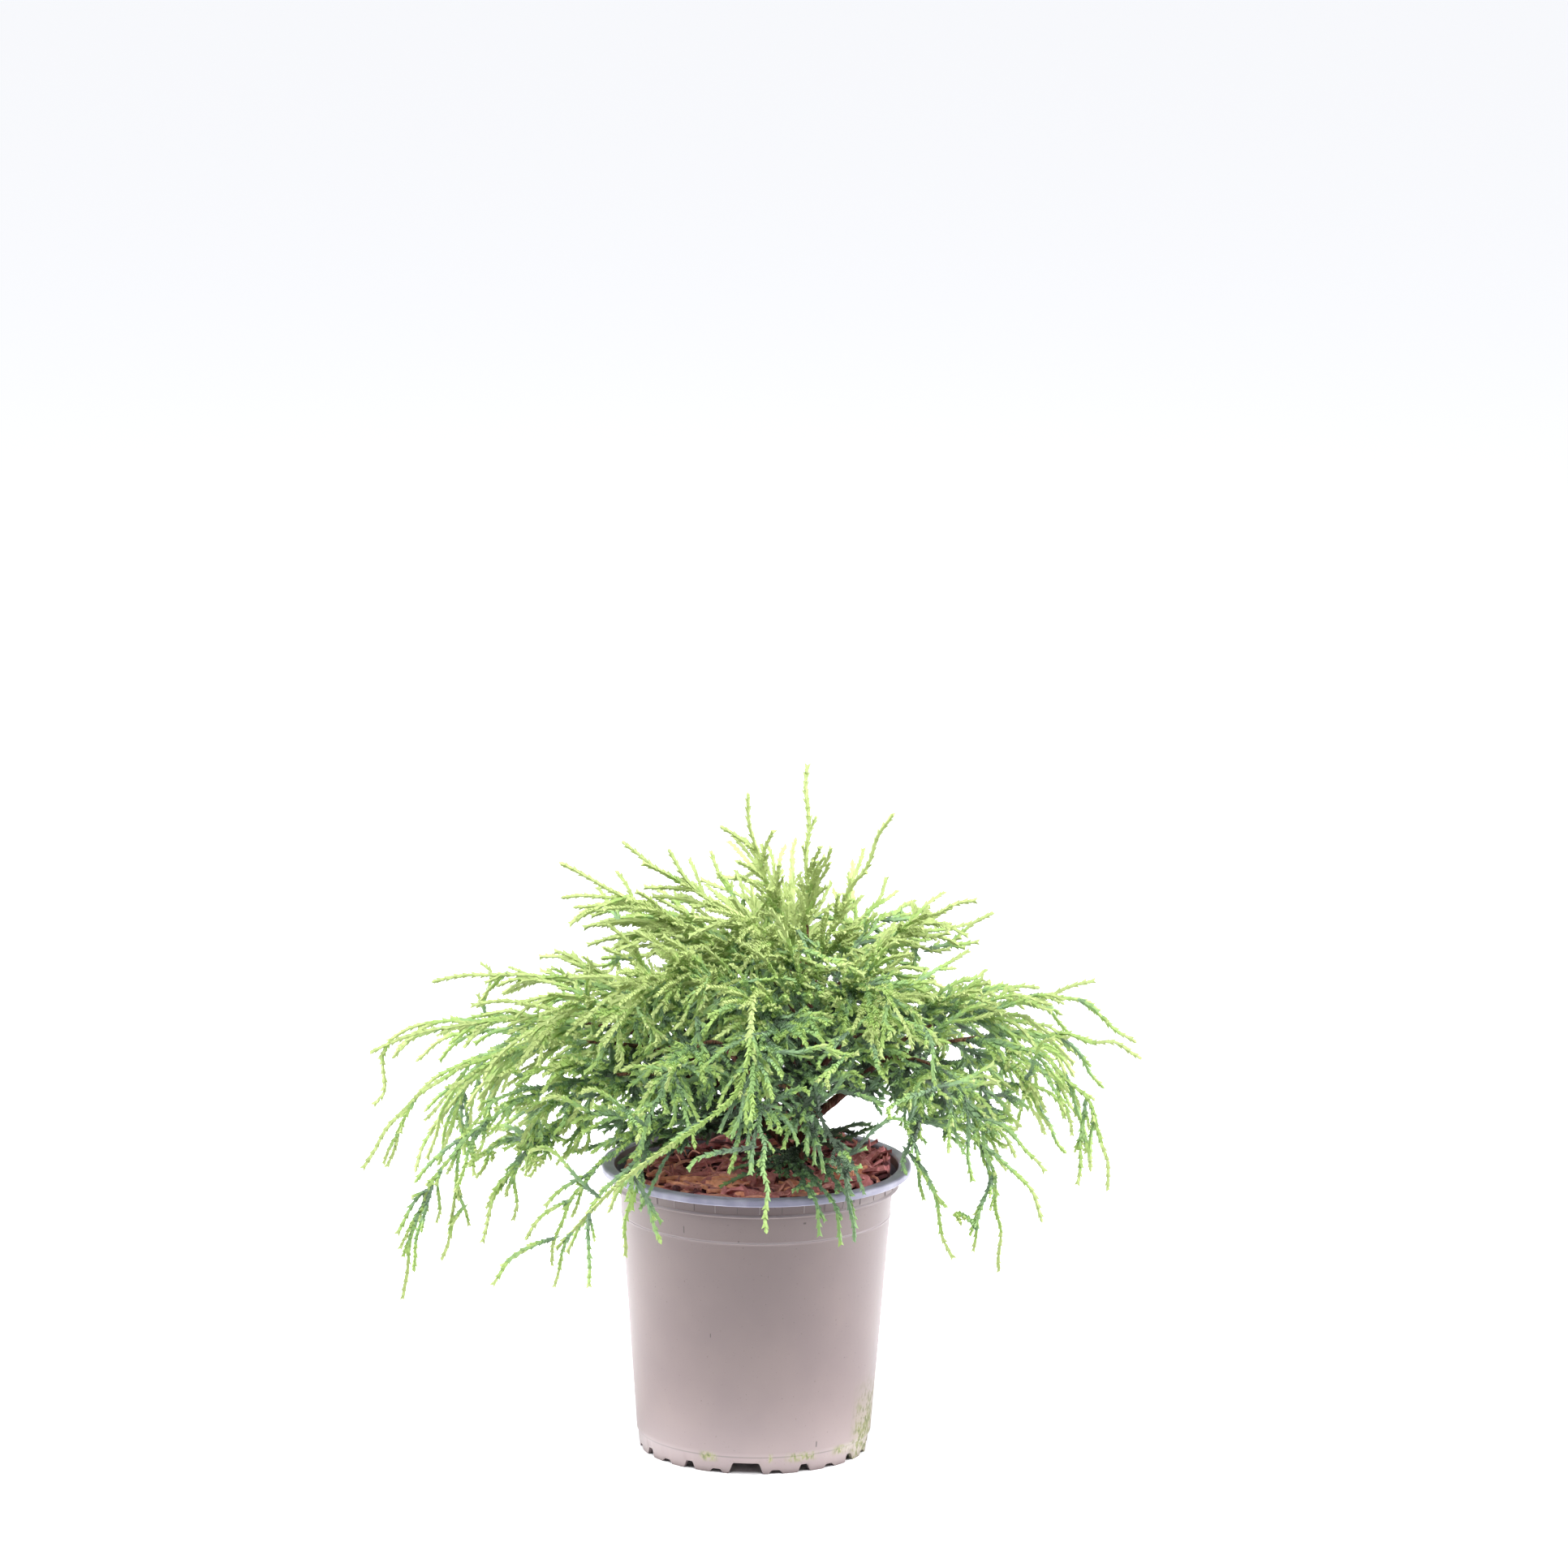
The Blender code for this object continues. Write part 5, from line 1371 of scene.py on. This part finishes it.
# the painted shade is darkest round this middle and fades out over these half sizes
SHADE_MIDDLE, SHADE_SIZE = Vector((0.026, 0.0, 0.220)), Vector((0.165, 0.290, 0.124))
# how much brighter or darker each mass is than its place alone would make it: painted light on top and at the
# left, and painted shade inside the crown and at the front right
MOODS = {"leader": 0.14, "top_middle": 0.14, "top_left": 0.15, "top_right": 0.15, "top_front": 0.15,
         "top_back": 0.15, "upper_left": 0.12, "upper_right": 0.12, "upper_front_left": 0.10,
         "upper_front_right": 0.03, "middle_left": 0.05, "middle_front": -0.05, "left_high": 0.06,
         "left_middle": 0.08, "left_low": 0.08, "left_back": -0.05, "right_low": 0.03,
         "right_weeping": 0.04, "front_spray": 0.02, "front_right": -0.14, "inner_back": -0.10,
         "inner_left": -0.10, "inner_right": -0.08}


def glow_at(point, share, mood):
    """0 in painted shade inside the crown and 1 on a young tip in painted light, for a point at a share of its
    thread.
    """
    depth = min(across(point - SHADE_MIDDLE, SHADE_SIZE), 1.0)
    height = min(max((point.z - GLOW_LOW) / (GLOW_TOP - GLOW_LOW), 0.0), 1.0)
    return GLOW_DEPTH * depth + GLOW_HEIGHT * height + GLOW_SHARE * share + mood


# %% Growth
class Growth:
    """All the threads: whips and sprigs apart, because their leaves differ in size."""

    def __init__(self):
        self.whips = []
        self.sprigs = []
        self.known = 0
        self.cloud = np.zeros((0, 3))

    def nodes(self):
        """Every whip's points but its last two, as an array."""
        fresh = [tuple(point) for line in self.whips[self.known:] for point in line.points[:-2]]
        if fresh:
            self.cloud = np.vstack((self.cloud, np.array(fresh)))
        self.known = len(self.whips)
        return self.cloud

    def thread(self, kind, points, radius, tip_radius, mood, share=0.0, sure=False):
        """Keeps a thread if it clears the pot and hides nothing that has to show, or if it is sure."""
        clear = all(clear_of_pot(point) and not in_window(point) for point in points[1:])
        if not sure and (not clear or any(hides_stout(point) for point in points)):
            return False
        count = len(points)
        shares = [share + (1 - share) * i / (count - 1) for i in range(count)]
        glows = [glow_at(point, along, mood) for point, along in zip(points, shares)]
        kind.append(Line(points, tapering(radius, tip_radius, count), glows))
        return True

    def sprig(self, start, forward, heading, length, mood, share):
        """A short shoot that bends forwards. Its path comes back, if it has grown."""
        pull = forward * SPRIG_FORWARD + Vector((0, 0, -SPRIG_SAG))
        points = pulled_shoot(start, heading, length, 3, pull)
        if self.thread(self.sprigs, points, SPRIG_RADIUS, SPRIG_TIP_RADIUS, mood, share):
            return Path(points)
        return None

    def dress(self, path, first, last, longest, mood, share, rng):
        """Alternate sprigs along a part of a path, all in one fan. They stand thinner near the outline."""
        tilt = rng.uniform(-FAN_TILT, FAN_TILT)
        distance = path.length * first
        side = rng.choice((-1, 1))
        while distance < min(path.length * last, path.length - SPRIG_BARE):
            foot = path.at(distance)
            thin = 1 - thickness(foot)
            along = (distance / path.length - first) / (last - first)
            length = longest * (1 - SPRIG_SHORTENING * along) * rng.uniform(*SPRIG_SPREAD)
            length *= 1 + (SPRIG_OUTER_LENGTH - 1) * thin
            forward = path.heading(distance)
            wobble = rng.uniform(-FAN_WOBBLE, FAN_WOBBLE)
            heading = side_heading(forward, side, rng.uniform(*SPRIG_ANGLES), tilt + wobble)
            youth = share + (1 - share) * distance / path.length * SPRIG_YOUTH
            twig = self.sprig(foot, forward, heading, length, mood, youth)
            if twig and length > FINE_FROM and thin < rng.random():
                self.refine(twig, tilt, mood, youth, rng)
            distance += rng.uniform(*SPRIG_STEP) * (1 + SPRIG_THINNING * thin)
            side = -side

    def refine(self, twig, tilt, mood, share, rng):
        """The last and smallest sprigs, on a longer sprig."""
        side = rng.choice((-1, 1))
        distance = twig.length * FINE_RUN[0]
        while distance < twig.length * FINE_RUN[1]:
            forward = twig.heading(distance)
            heading = side_heading(forward, side, rng.uniform(*SPRIG_ANGLES), tilt)
            length = rng.uniform(*FINE_LENGTH)
            self.sprig(twig.at(distance), forward, heading, length, mood, share + FINE_YOUTH)
            distance += FINE_STEP
            side = -side

    def whip(self, axis, sag, mood, rng, carried=SPRAY_CARRIED, depth=0):
        """One whip along an axis, with its sprigs and with the whips that leave it."""
        points = wandering(smooth(axis, POINT_STEP), rng)
        own_mood = mood + rng.uniform(-GLOW_JITTER, GLOW_JITTER)
        youth = BRANCH_YOUTH * depth
        if not self.thread(self.whips, points, WHIP_RADIUS, WHIP_TIP_RADIUS, own_mood, youth):
            return
        path = Path(points)
        longest = SPRIG_LENGTH * min(1.0, path.length / FULL_WHIP)
        self.dress(path, SPRIGS_FROM, carried, longest, own_mood, youth, rng)
        if depth == 1 or path.length < BRANCHING:
            return
        for _ in range(1 + (path.length > 1.5 * BRANCHING)):
            share = rng.uniform(*BRANCH_AT)
            foot = path.at(path.length * share)
            forward = path.heading(path.length * share)
            side = rng.choice((-1, 1))
            angle = rng.uniform(*BRANCH_ANGLES)
            heading = side_heading(forward, side, angle, rng.uniform(-BRANCH_TILT, BRANCH_TILT))
            length = path.length * (1 - 0.5 * share) * rng.uniform(*BRANCH_LENGTH)
            if rng.random() > max(thickness(foot), BRANCH_LEAST):
                continue
            branch = side_shoot(foot, heading, length, sag, WHIP_STEPS)
            if all(within_crown(point) for point in branch):
                self.whip(branch, sag, mood, rng, rng.uniform(*BRANCH_CARRIED), 1)

    def mass(self, limb, number):
        """One mass: its cord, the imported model's sprays, and finer whips between them."""
        path = LIMB_PATHS[limb.name]
        core, sag, sprays = solid_sprays(limb, path, number)
        sag *= WHIP_SAG
        rng = random.Random(LEAF_SEED + 17 * number)
        mood = MOODS.get(limb.name, 0.0)
        fullness = SPARSE.get(limb.name, 1.0)
        count = max(4, round(core.length / POINT_STEP))
        points = wandering(path.between(path.length - core.length * CORD_SHARE, path.length, count), rng)
        self.thread(self.whips, points, CORD_RADIUS, CORD_TIP_RADIUS, mood, sure=True)
        cord = Path(points)
        self.dress(cord, 0.03, 1 - BARE_END / cord.length, SPRIG_LENGTH, mood, 0.0, rng)
        self.dress(cord, 0.05, 0.5 * (1 - BARE_END / cord.length), SPRIG_LENGTH, mood, 0.0, rng)
        for axis in sprays:
            if rng.random() < fullness:
                self.whip(axis, sag, mood, rng)
        for k in range(round(core.length / WHIP_SPACING)):
            share = rng.uniform(*WHIPS_AT)
            distance = core.length * share
            if rng.random() > thickness(core.at(distance)) * fullness:
                continue
            length = limb.spray * (WHIP_LENGTH - WHIP_SHORTENING * share) * rng.uniform(*WHIP_SPREAD)
            length = min(length, SPRAY_OVERRUN * (core.length - distance) + WHIP_PAST)
            for attempt in range(WHIP_ATTEMPTS):
                side = 1 if (k + attempt) % 2 else -1
                roll = rng.uniform(-WHIP_ROLL, WHIP_ROLL)
                angle = rng.uniform(*WHIP_ANGLES)
                heading = side_heading(core.heading(distance), side, angle, roll * side)
                axis = side_shoot(core.at(distance), heading, length, sag, WHIP_STEPS)
                if all(SPACE.holds(limb.name, point, WHIP_OVERLAP) for point in axis[1:]):
                    self.whip(axis, sag, mood, rng, rng.uniform(*WHIP_CARRIED))
                    break


growth = Growth()
for number, limb in enumerate(LIMBS):
    growth.mass(limb, number)


def report(title):
    """Prints how many threads there are, and their length."""
    for kind, lines in (("whips", growth.whips), ("sprigs", growth.sprigs)):
        length = sum((b - a).length for line in lines for a, b in zip(line.points, line.points[1:]))
        print(title, len(lines), kind, round(length, 1), "m")


report("masses:")

# %% [markdown]
# A shrub fills the room that it has: where light falls between two boughs, shoots grow into it. So random
# places are tried inside the crown, and wherever no thread is near, a whip grows there from the nearest
# thread that is further in. The outline's own long tips are reached in the same way, from a short list.

# %% Room to fill
FILL_TRIES, FILL_ROOM, FILL_ROOM_OUTER, FILL_REACH, FILL_SEED = 5200, 0.0092, 0.040, (0.030, 0.095), 77
FILL_CARRIED = (0.45, 0.75)
# the lowest places by radius: they lie lower at the left, and higher at the front
FILL_LOW = ((0.0, 0.208), (0.095, 0.208), (0.150, 0.190), (0.205, 0.170))
FILL_LEFT, LEFT_SECTOR, LEFT_LOWER = 184.0, 26.0, 0.016
FILL_LOW_FRONT, FRONT_SECTOR = 0.030, 40.0
FILL_CROWN, FILL_RADIUS, FILL_INWARD = 0.010, 0.195, 0.006
# whips at each of these heights arrive in a heading with so much outwards and so much up
ARRIVALS = ((0.140, 0.45, -0.85), (0.195, 0.85, -0.45), (0.260, 0.95, -0.20), (0.320, 0.90, 0.30),
            (0.360, 0.55, 0.80))
REACH_OUT, REACH_UP, REACH_BEND, REACH_SAG = 0.6, 0.3, 0.4, 0.08


def height_at(outline, radius):
    """Height of an outline of (radius, height) pairs at a radius."""
    radii, heights = zip(*outline)
    return float(np.interp(radius, radii, heights))


def arrival(target):
    """The heading in which a whip reaches a place: down at the skirt, outwards halfway, and up on top."""
    heights, outs, ups = zip(*ARRIVALS)
    out = float(np.interp(target.z, heights, outs))
    up = float(np.interp(target.z, heights, ups))
    level = Vector((target.x, target.y, 0)).normalized()
    return (level * out + Vector((0, 0, up))).normalized()


def reach_from(start, target, mood, carried, rng, arriving=None):
    """Grows a whip from one place to another in one soft curve."""
    span = (target - start).length
    level = Vector((target.x, target.y, 0)).normalized()
    leaving = ((target - start).normalized() + level * REACH_OUT + Vector((0, 0, REACH_UP))).normalized()
    after = start + leaving * span * REACH_BEND
    before = target - (arriving or arrival(target)) * span * REACH_BEND
    growth.whip(bezier(start, after, before, target, WHIP_STEPS), REACH_SAG, mood, rng, carried)


def fill_crown():
    """Tries random places inside the crown, and counts the whips that grow into them."""
    rng = random.Random(FILL_SEED)
    grown = 0
    for _ in range(FILL_TRIES):
        radius = FILL_RADIUS * math.sqrt(rng.random())
        azimuth = rng.uniform(0, 360)
        low = height_at(FILL_LOW, radius) + FILL_LOW_FRONT * (abs(azimuth - 270) < FRONT_SECTOR)
        low -= LEFT_LOWER * (abs(azimuth - FILL_LEFT) < LEFT_SECTOR and radius > RIM_RADIUS + RIM_MARGIN)
        target = polar(azimuth, radius, rng.uniform(low, height_at(CROWN_PROFILE, radius) - FILL_CROWN))
        nodes = growth.nodes()
        gaps = np.linalg.norm(nodes - np.array(tuple(target)), axis=1)
        if gaps.min() < FILL_ROOM_OUTER + (FILL_ROOM - FILL_ROOM_OUTER) * thickness(target):
            continue
        wrong = (np.hypot(nodes[:, 0], nodes[:, 1]) > radius - FILL_INWARD) | (gaps < FILL_REACH[0])
        gaps[wrong] = FILL_REACH[1]
        best = int(gaps.argmin())
        if gaps[best] < FILL_REACH[1]:
            reach_from(Vector(nodes[best]), target, 0.0, rng.uniform(*FILL_CARRIED), rng)
            grown += 1
    return grown


print(fill_crown(), "whips grown into the gaps")
report("filled:")

# %% [markdown]
# Some shoots catch the eye in the photograph: a stout pale one that arches down over the rim at the front,
# and low dark ones over the bark. Each of these follows a line of its own. Short dark shoots also hide the
# trunk on all sides: they are placed by their tips, and grow from the wood near by.

# %% Placed shoots
STOUT_SIDES, STOUT_SIDE_LENGTH, STOUT_SIDE_ANGLES = 8, (0.022, 0.040), (20.0, 34.0)
STOUT_SIDES_FROM, STOUT_SIDES_RUN, STOUT_SIDE_TILT, STOUT_SIDE_SAG = 0.34, 0.56, 25.0, 0.35
STOUT_MOOD, STOUT_SHARE, STOUT_LEAVES_AT = 0.10, 0.45, 0.40
# the low dark shoots over the bark: three fan out to the left, three hang over the rim at the front right,
# and two lie at the back right
LOW_SHOOTS = (
    ((0.026, -0.008, 0.190), (0.022, -0.034, 0.190), (0.002, -0.050, 0.186), (-0.020, -0.056, 0.178)),
    ((0.026, -0.010, 0.190), (0.020, -0.034, 0.191), (0.004, -0.044, 0.190), (-0.015, -0.046, 0.185)),
    ((0.026, -0.008, 0.190), (0.018, -0.026, 0.192), (0.006, -0.034, 0.193), (-0.006, -0.036, 0.1895)),
    ((0.024, -0.010, 0.190), (0.022, -0.034, 0.190), (0.0245, -0.060, 0.188), (0.032, -0.090, 0.185),
     (0.0365, -0.101, 0.175), (0.0395, -0.1035, 0.1625)),
    ((0.026, -0.010, 0.191), (0.024, -0.034, 0.191), (0.030, -0.060, 0.1885), (0.039, -0.084, 0.1865),
     (0.0475, -0.098, 0.174), (0.052, -0.100, 0.156)),
    ((0.028, -0.008, 0.192), (0.031, -0.032, 0.193), (0.039, -0.054, 0.1905), (0.049, -0.076, 0.187),
     (0.056, -0.092, 0.177), (0.060, -0.0955, 0.164)),
    ((0.028, 0.008, 0.188), (0.045, 0.016, 0.192), (0.060, 0.022, 0.1955), (0.068, 0.026, 0.1975)),
    ((0.028, 0.010, 0.186), (0.050, 0.022, 0.188), (0.072, 0.030, 0.192)),
)
LOW_SHOOT_SPRIG, LOW_SHOOT_MOOD = 0.0125, -0.02
# azimuth, reach and height of each tip of the low shoots elsewhere, which leave the trunk near its foot
LOW_TIPS = ((45, 0.085, 0.196), (30, 0.075, 0.192), (62, 0.080, 0.190), (100, 0.070, 0.190),
            (150, 0.080, 0.192), (184, 0.113, 0.186), (176, 0.104, 0.196))
# the shoots that hide the trunk get this much painted shade, how far they sink as they arrive, and where the
# lowest leave the trunk
LOW_MOOD, LOW_FALL, LOW_LEAVES_AT = -0.12, 0.20, (0.030, 0.045)
INNER_SHOOTS, INNER_REACH, INNER_HEIGHTS, INNER_SEED = 24, (0.034, 0.062), (0.208, 0.262), 5
# inner shoots are at least this long, and start above the lowest wood
INNER_LEAST, WOOD_LOWEST = 0.024, 0.186


def nearest_wood(target):
    """The nearest place on the trunk and the stems that an inner shoot may start from."""
    spots = [path.at(path.length * i / 40) for path in (TRUNK, *STEM_PATHS.values()) for i in range(41)]
    fit = [spot for spot in spots if (spot - target).length > INNER_LEAST and spot.z > WOOD_LOWEST]
    return min(fit, key=lambda spot: (spot - target).length)


def place_stout_shoot(rng):
    """The stout shoot at the front, with its sprigs and its side shoots."""
    bough = LIMB_PATHS["middle_front"]
    points = smooth([bough.at(bough.length * STOUT_LEAVES_AT), *map(Vector, STOUT_SHOOT)], POINT_STEP)
    growth.thread(growth.whips, points, STOUT_RADIUS, CORD_TIP_RADIUS, STOUT_MOOD, STOUT_SHARE)
    stout = Path(points)
    growth.dress(stout, 0.25, 0.85, SPRIG_LENGTH * 0.7, STOUT_MOOD, 0.3, rng)
    for k in range(STOUT_SIDES):
        distance = stout.length * (STOUT_SIDES_FROM + STOUT_SIDES_RUN * k / (STOUT_SIDES - 1))
        angle = rng.uniform(*STOUT_SIDE_ANGLES)
        tilt = rng.uniform(-STOUT_SIDE_TILT, STOUT_SIDE_TILT)
        heading = side_heading(stout.heading(distance), 1 if k % 2 else -1, angle, tilt)
        length = rng.uniform(*STOUT_SIDE_LENGTH)
        axis = side_shoot(stout.at(distance), heading, length, STOUT_SIDE_SAG, WHIP_STEPS)
        growth.whip(axis, 0.3, STOUT_MOOD, rng, 0.75)


def place_dark_shoots(rng):
    """The low shoots over the bark, and the short ones that hide the trunk."""
    for line in LOW_SHOOTS:
        points = wandering(smooth([Vector(place) for place in line], POINT_STEP), rng)
        if growth.thread(growth.whips, points, WHIP_RADIUS, WHIP_TIP_RADIUS, LOW_SHOOT_MOOD):
            growth.dress(Path(points), 0.25, 0.9, LOW_SHOOT_SPRIG, LOW_SHOOT_MOOD, 0.1, rng)
    tips = list(LOW_TIPS)
    for k in range(INNER_SHOOTS):
        azimuth = 360 * (k + rng.uniform(0.1, 0.9)) / INNER_SHOOTS
        tips.append((azimuth, rng.uniform(*INNER_REACH), rng.uniform(*INNER_HEIGHTS)))
    for azimuth, reach, height in tips:
        target = polar(azimuth, reach, height)
        if height < INNER_HEIGHTS[0]:
            start = TRUNK.at(rng.uniform(*LOW_LEAVES_AT))
        else:
            start = nearest_wood(target)
        level = Vector((target.x - start.x, target.y - start.y, 0)).normalized()
        arriving = (level + Vector((0, 0, -LOW_FALL))).normalized()
        reach_from(start, target, LOW_MOOD, 0.9, rng, arriving)


shoot_rng = random.Random(INNER_SEED)
place_stout_shoot(shoot_rng)
place_dark_shoots(shoot_rng)
report("placed:")

# %% Long tips of the outline
# each is the place of a tip as it is seen from the front: across, and up as the camera sees it
OUTLINE_TIPS = (
    (-0.118, 0.359), (-0.082, 0.363), (-0.055, 0.364), (-0.030, 0.363), (-0.087, 0.350), (0.042, 0.370),
    (0.130, 0.338), (0.141, 0.329), (-0.137, 0.304), (-0.169, 0.292), (-0.196, 0.287), (0.204, 0.288),
    (0.230, 0.251), (0.198, 0.233), (0.204, 0.224), (0.190, 0.194), (0.214, 0.171), (0.185, 0.180),
    (0.177, 0.186), (0.144, 0.180), (0.145, 0.161), (0.146, 0.118), (0.118, 0.124), (0.112, 0.154),
    (0.101, 0.160), (0.094, 0.182), (-0.233, 0.243), (-0.232, 0.210), (-0.237, 0.173), (-0.203, 0.198),
    (-0.205, 0.170), (-0.215, 0.135), (-0.212, 0.097), (-0.188, 0.120), (-0.192, 0.142), (-0.178, 0.146),
    (-0.166, 0.128), (-0.156, 0.106), (-0.147, 0.142), (-0.137, 0.134), (-0.125, 0.153), (-0.118, 0.110),
    (-0.110, 0.147), (-0.098, 0.110), (-0.074, 0.124),
)
TIP_REACH, TIP_NEAR, TIP_OUT = (0.030, 0.115), 0.008, 1.06
TIP_FALL, TIP_HIGH = 0.55, 0.280
TIP_MOOD, TIP_CARRIED = 0.08, 0.45
# the low tips are reached from beside the pot
TIP_LOW, TIP_BESIDE = 0.200, 0.090


def reach_outline():
    """Grows a bare whip to every tip of the outline that has none yet."""
    rng = random.Random(FILL_SEED + 1)
    grown = 0
    for aside, seen in OUTLINE_TIPS:
        ends = np.array([tuple(line.points[-1]) for line in growth.whips])
        seen_ends = seen_height(ends[:, 1], ends[:, 2])
        if np.hypot(ends[:, 0] - aside, seen_ends - seen).min() < TIP_NEAR:
            continue
        nodes = growth.nodes()
        seen_nodes = seen_height(nodes[:, 1], nodes[:, 2])
        gaps = np.hypot(nodes[:, 0] - aside, seen_nodes - seen)
        rise = (seen_nodes - seen) * (1 if seen < TIP_HIGH else -1)
        wrong = (np.abs(nodes[:, 0]) > abs(aside)) | (gaps < TIP_REACH[0]) | (rise < TIP_FALL * gaps)
        wrong |= (seen < TIP_LOW) & (np.abs(nodes[:, 0]) < TIP_BESIDE)
        gaps[wrong] = TIP_REACH[1]
        best = int(gaps.argmin())
        if gaps[best] < TIP_REACH[1]:
            start = Vector(nodes[best])
            deep = start.y * TIP_OUT
            height = (seen - deep * math.sin(LINE_OF_SIGHT)) / math.cos(LINE_OF_SIGHT)
            reach_from(start, Vector((aside, deep, height)), TIP_MOOD, TIP_CARRIED, rng)
            grown += 1
    return grown


print(reach_outline(), "whips grown to the outline")
report("outlined:")

# %% Inner wood of the limbs
INNER_WOOD_SHARE, INNER_WOOD_RADIUS, INNER_WOOD_TIP_RADIUS = 0.22, 0.0015, 0.0009
inner_lines = []
for limb in LIMBS:
    path = LIMB_PATHS[limb.name]
    start = limb.bough + GAP if limb.bough else 0.0
    end = start + (path.length - start) * INNER_WOOD_SHARE
    first = BOUGH_TIP_RADIUS if limb.bough else INNER_WOOD_RADIUS
    inner_lines.append(wooden(path, start, end, first, INNER_WOOD_TIP_RADIUS, 12))
wood_piece("inner_twigs", inner_lines, 6, 0.0005, TWIG_BARK)

# %% [markdown]
# A thread is covered by scale leaves in crossed pairs. One pair is ten triangles: a slim cone that opens
# upwards and ends in two free leaf tips. The tree strings pairs along every thread a pitch apart, turns
# every other one by a right angle, and takes its width from the thread's radius.


# %% One pair of leaves
def leaf_pair(name, finish):
    """A pair of scale leaves along +Z, for a thread of radius 1 and a pitch of 1."""
    bm = bmesh.new()
    foot = bm.verts.new((0.0, 0.0, -1.6))
    corners = ((0.98, 0, 0.25), (0, 0.88, 0.55), (-0.98, 0, 0.25), (0, -0.88, 0.55))
    ring = [bm.verts.new(corner) for corner in corners]
    tips = [bm.verts.new((1.42, 0, 1.15)), bm.verts.new((-1.42, 0, 1.15))]
    for k in range(4):
        bm.faces.new((foot, ring[(k + 1) % 4], ring[k]))
    for tip, k in zip(tips, (0, 2)):
        left, corner, right = ring[k - 1], ring[k], ring[k + 1]
        bm.faces.new((left, corner, tip))
        bm.faces.new((corner, right, tip))
        bm.faces.new((right, left, tip))
    bmesh.ops.recalc_face_normals(bm, faces=bm.faces)
    return bpy.data.objects.new(name, mesh_from(bm, name, finish, smooth=False))


def leaf_tree():
    tree = Pattern("leaves_on_threads", Leaves="Object", Pitch="Float", Darkest="Float", Brightest="Float",
                   Wobble="Float", Seed="Int", Finish="Material")
    curve = tree.node("GeometryNodeMeshToCurve", values={0: tree.take("Start")})
    values = {"Curve": curve, "Length": tree.take("Pitch")}
    points = tree.node("GeometryNodeCurveToPoints", {"mode": "LENGTH"}, values)
    seed, wobble = tree.take("Seed"), tree.take("Wobble")
    crossed = tree.node("GeometryNodeInputIndex").math("MODULO", 2.0) * (math.pi / 2)
    by = tree.turned(tree.chance(-1.0, 1.0, seed) * wobble, tree.chance(-1.0, 1.0, seed + 1) * wobble,
                     crossed + tree.chance(-1.0, 1.0, seed + 2) * wobble)
    values = {"Rotation": points.output("Rotation"), "Rotate By": by}
    turn = tree.node("FunctionNodeRotateRotation", {"rotation_space": "LOCAL"}, values)
    width = tree.attribute("girth") * tree.chance(0.90, 1.12, seed + 3)
    size = tree.node("ShaderNodeCombineXYZ", values={0: width, 1: width, 2: tree.take("Pitch")})
    glow = tree.attribute("glow")
    chosen = (glow > tree.take("Darkest")) * (glow < tree.take("Brightest"))
    pair = tree.node("GeometryNodeObjectInfo", values={0: tree.take("Leaves")}, output="Geometry")
    values = {"Points": points, "Selection": chosen, "Instance": pair, "Rotation": turn, "Scale": size}
    tree.end(tree.node("GeometryNodeInstanceOnPoints", values=values))
    return tree


# %% [markdown]
# The leaves have one plain colour for each of six steps of brightness, so that the model stays light and the
# colours survive any export. The steps are shares of all the threads, from the darkest eighth upwards.

# %% Leaves
SHADES = (("shade", (0.072, 0.102, 0.070)), ("deep", (0.112, 0.180, 0.104)), ("dark", (0.158, 0.262, 0.124)),
          ("mid", (0.214, 0.346, 0.122)), ("lime", (0.268, 0.390, 0.110)), ("tip", (0.346, 0.430, 0.156)))
SHADE_SHARES = (0.13, 0.28, 0.43, 0.61, 0.81)
LEAF_ROUGHNESS = 0.55
# name, threads, pitch of the leaf pairs, and how far in radians they may turn off their places
KINDS = (("whips", growth.whips, 0.0027, 0.12), ("sprigs", growth.sprigs, 0.0020, 0.18))
MASSES = [limb.name for limb in LIMBS]


def shade_edges():
    """Brightness limits between the steps, so that each step has its share of the threads."""
    glows = [glow for _, lines, _, _ in KINDS for line in lines for glow in line.glows]
    return [-9.0, *np.quantile(glows, SHADE_SHARES).tolist(), 9.0]


LEAF_TREE = leaf_tree()
EDGES = shade_edges()
print("brightness steps", [round(edge, 2) for edge in EDGES])
for kind, lines, pitch, wobble in KINDS:
    threads = line_mesh(lines)
    for k, (shade, colour) in enumerate(SHADES):
        finish = Finish(f"{kind}_{shade}", colour, LEAF_ROUGHNESS, specular=0.25)
        pair = leaf_pair("leaf_pair", finish)
        leaves = LEAF_TREE.run(f"{kind}_{shade}", threads, Leaves=pair, Pitch=pitch, Darkest=EDGES[k],
                               Brightest=EDGES[k + 1], Wobble=wobble, Seed=5 * k, Finish=finish.material)
        piece(f"{kind}_{shade}", leaves, "foliage", *MASSES)
        bpy.data.objects.remove(pair)
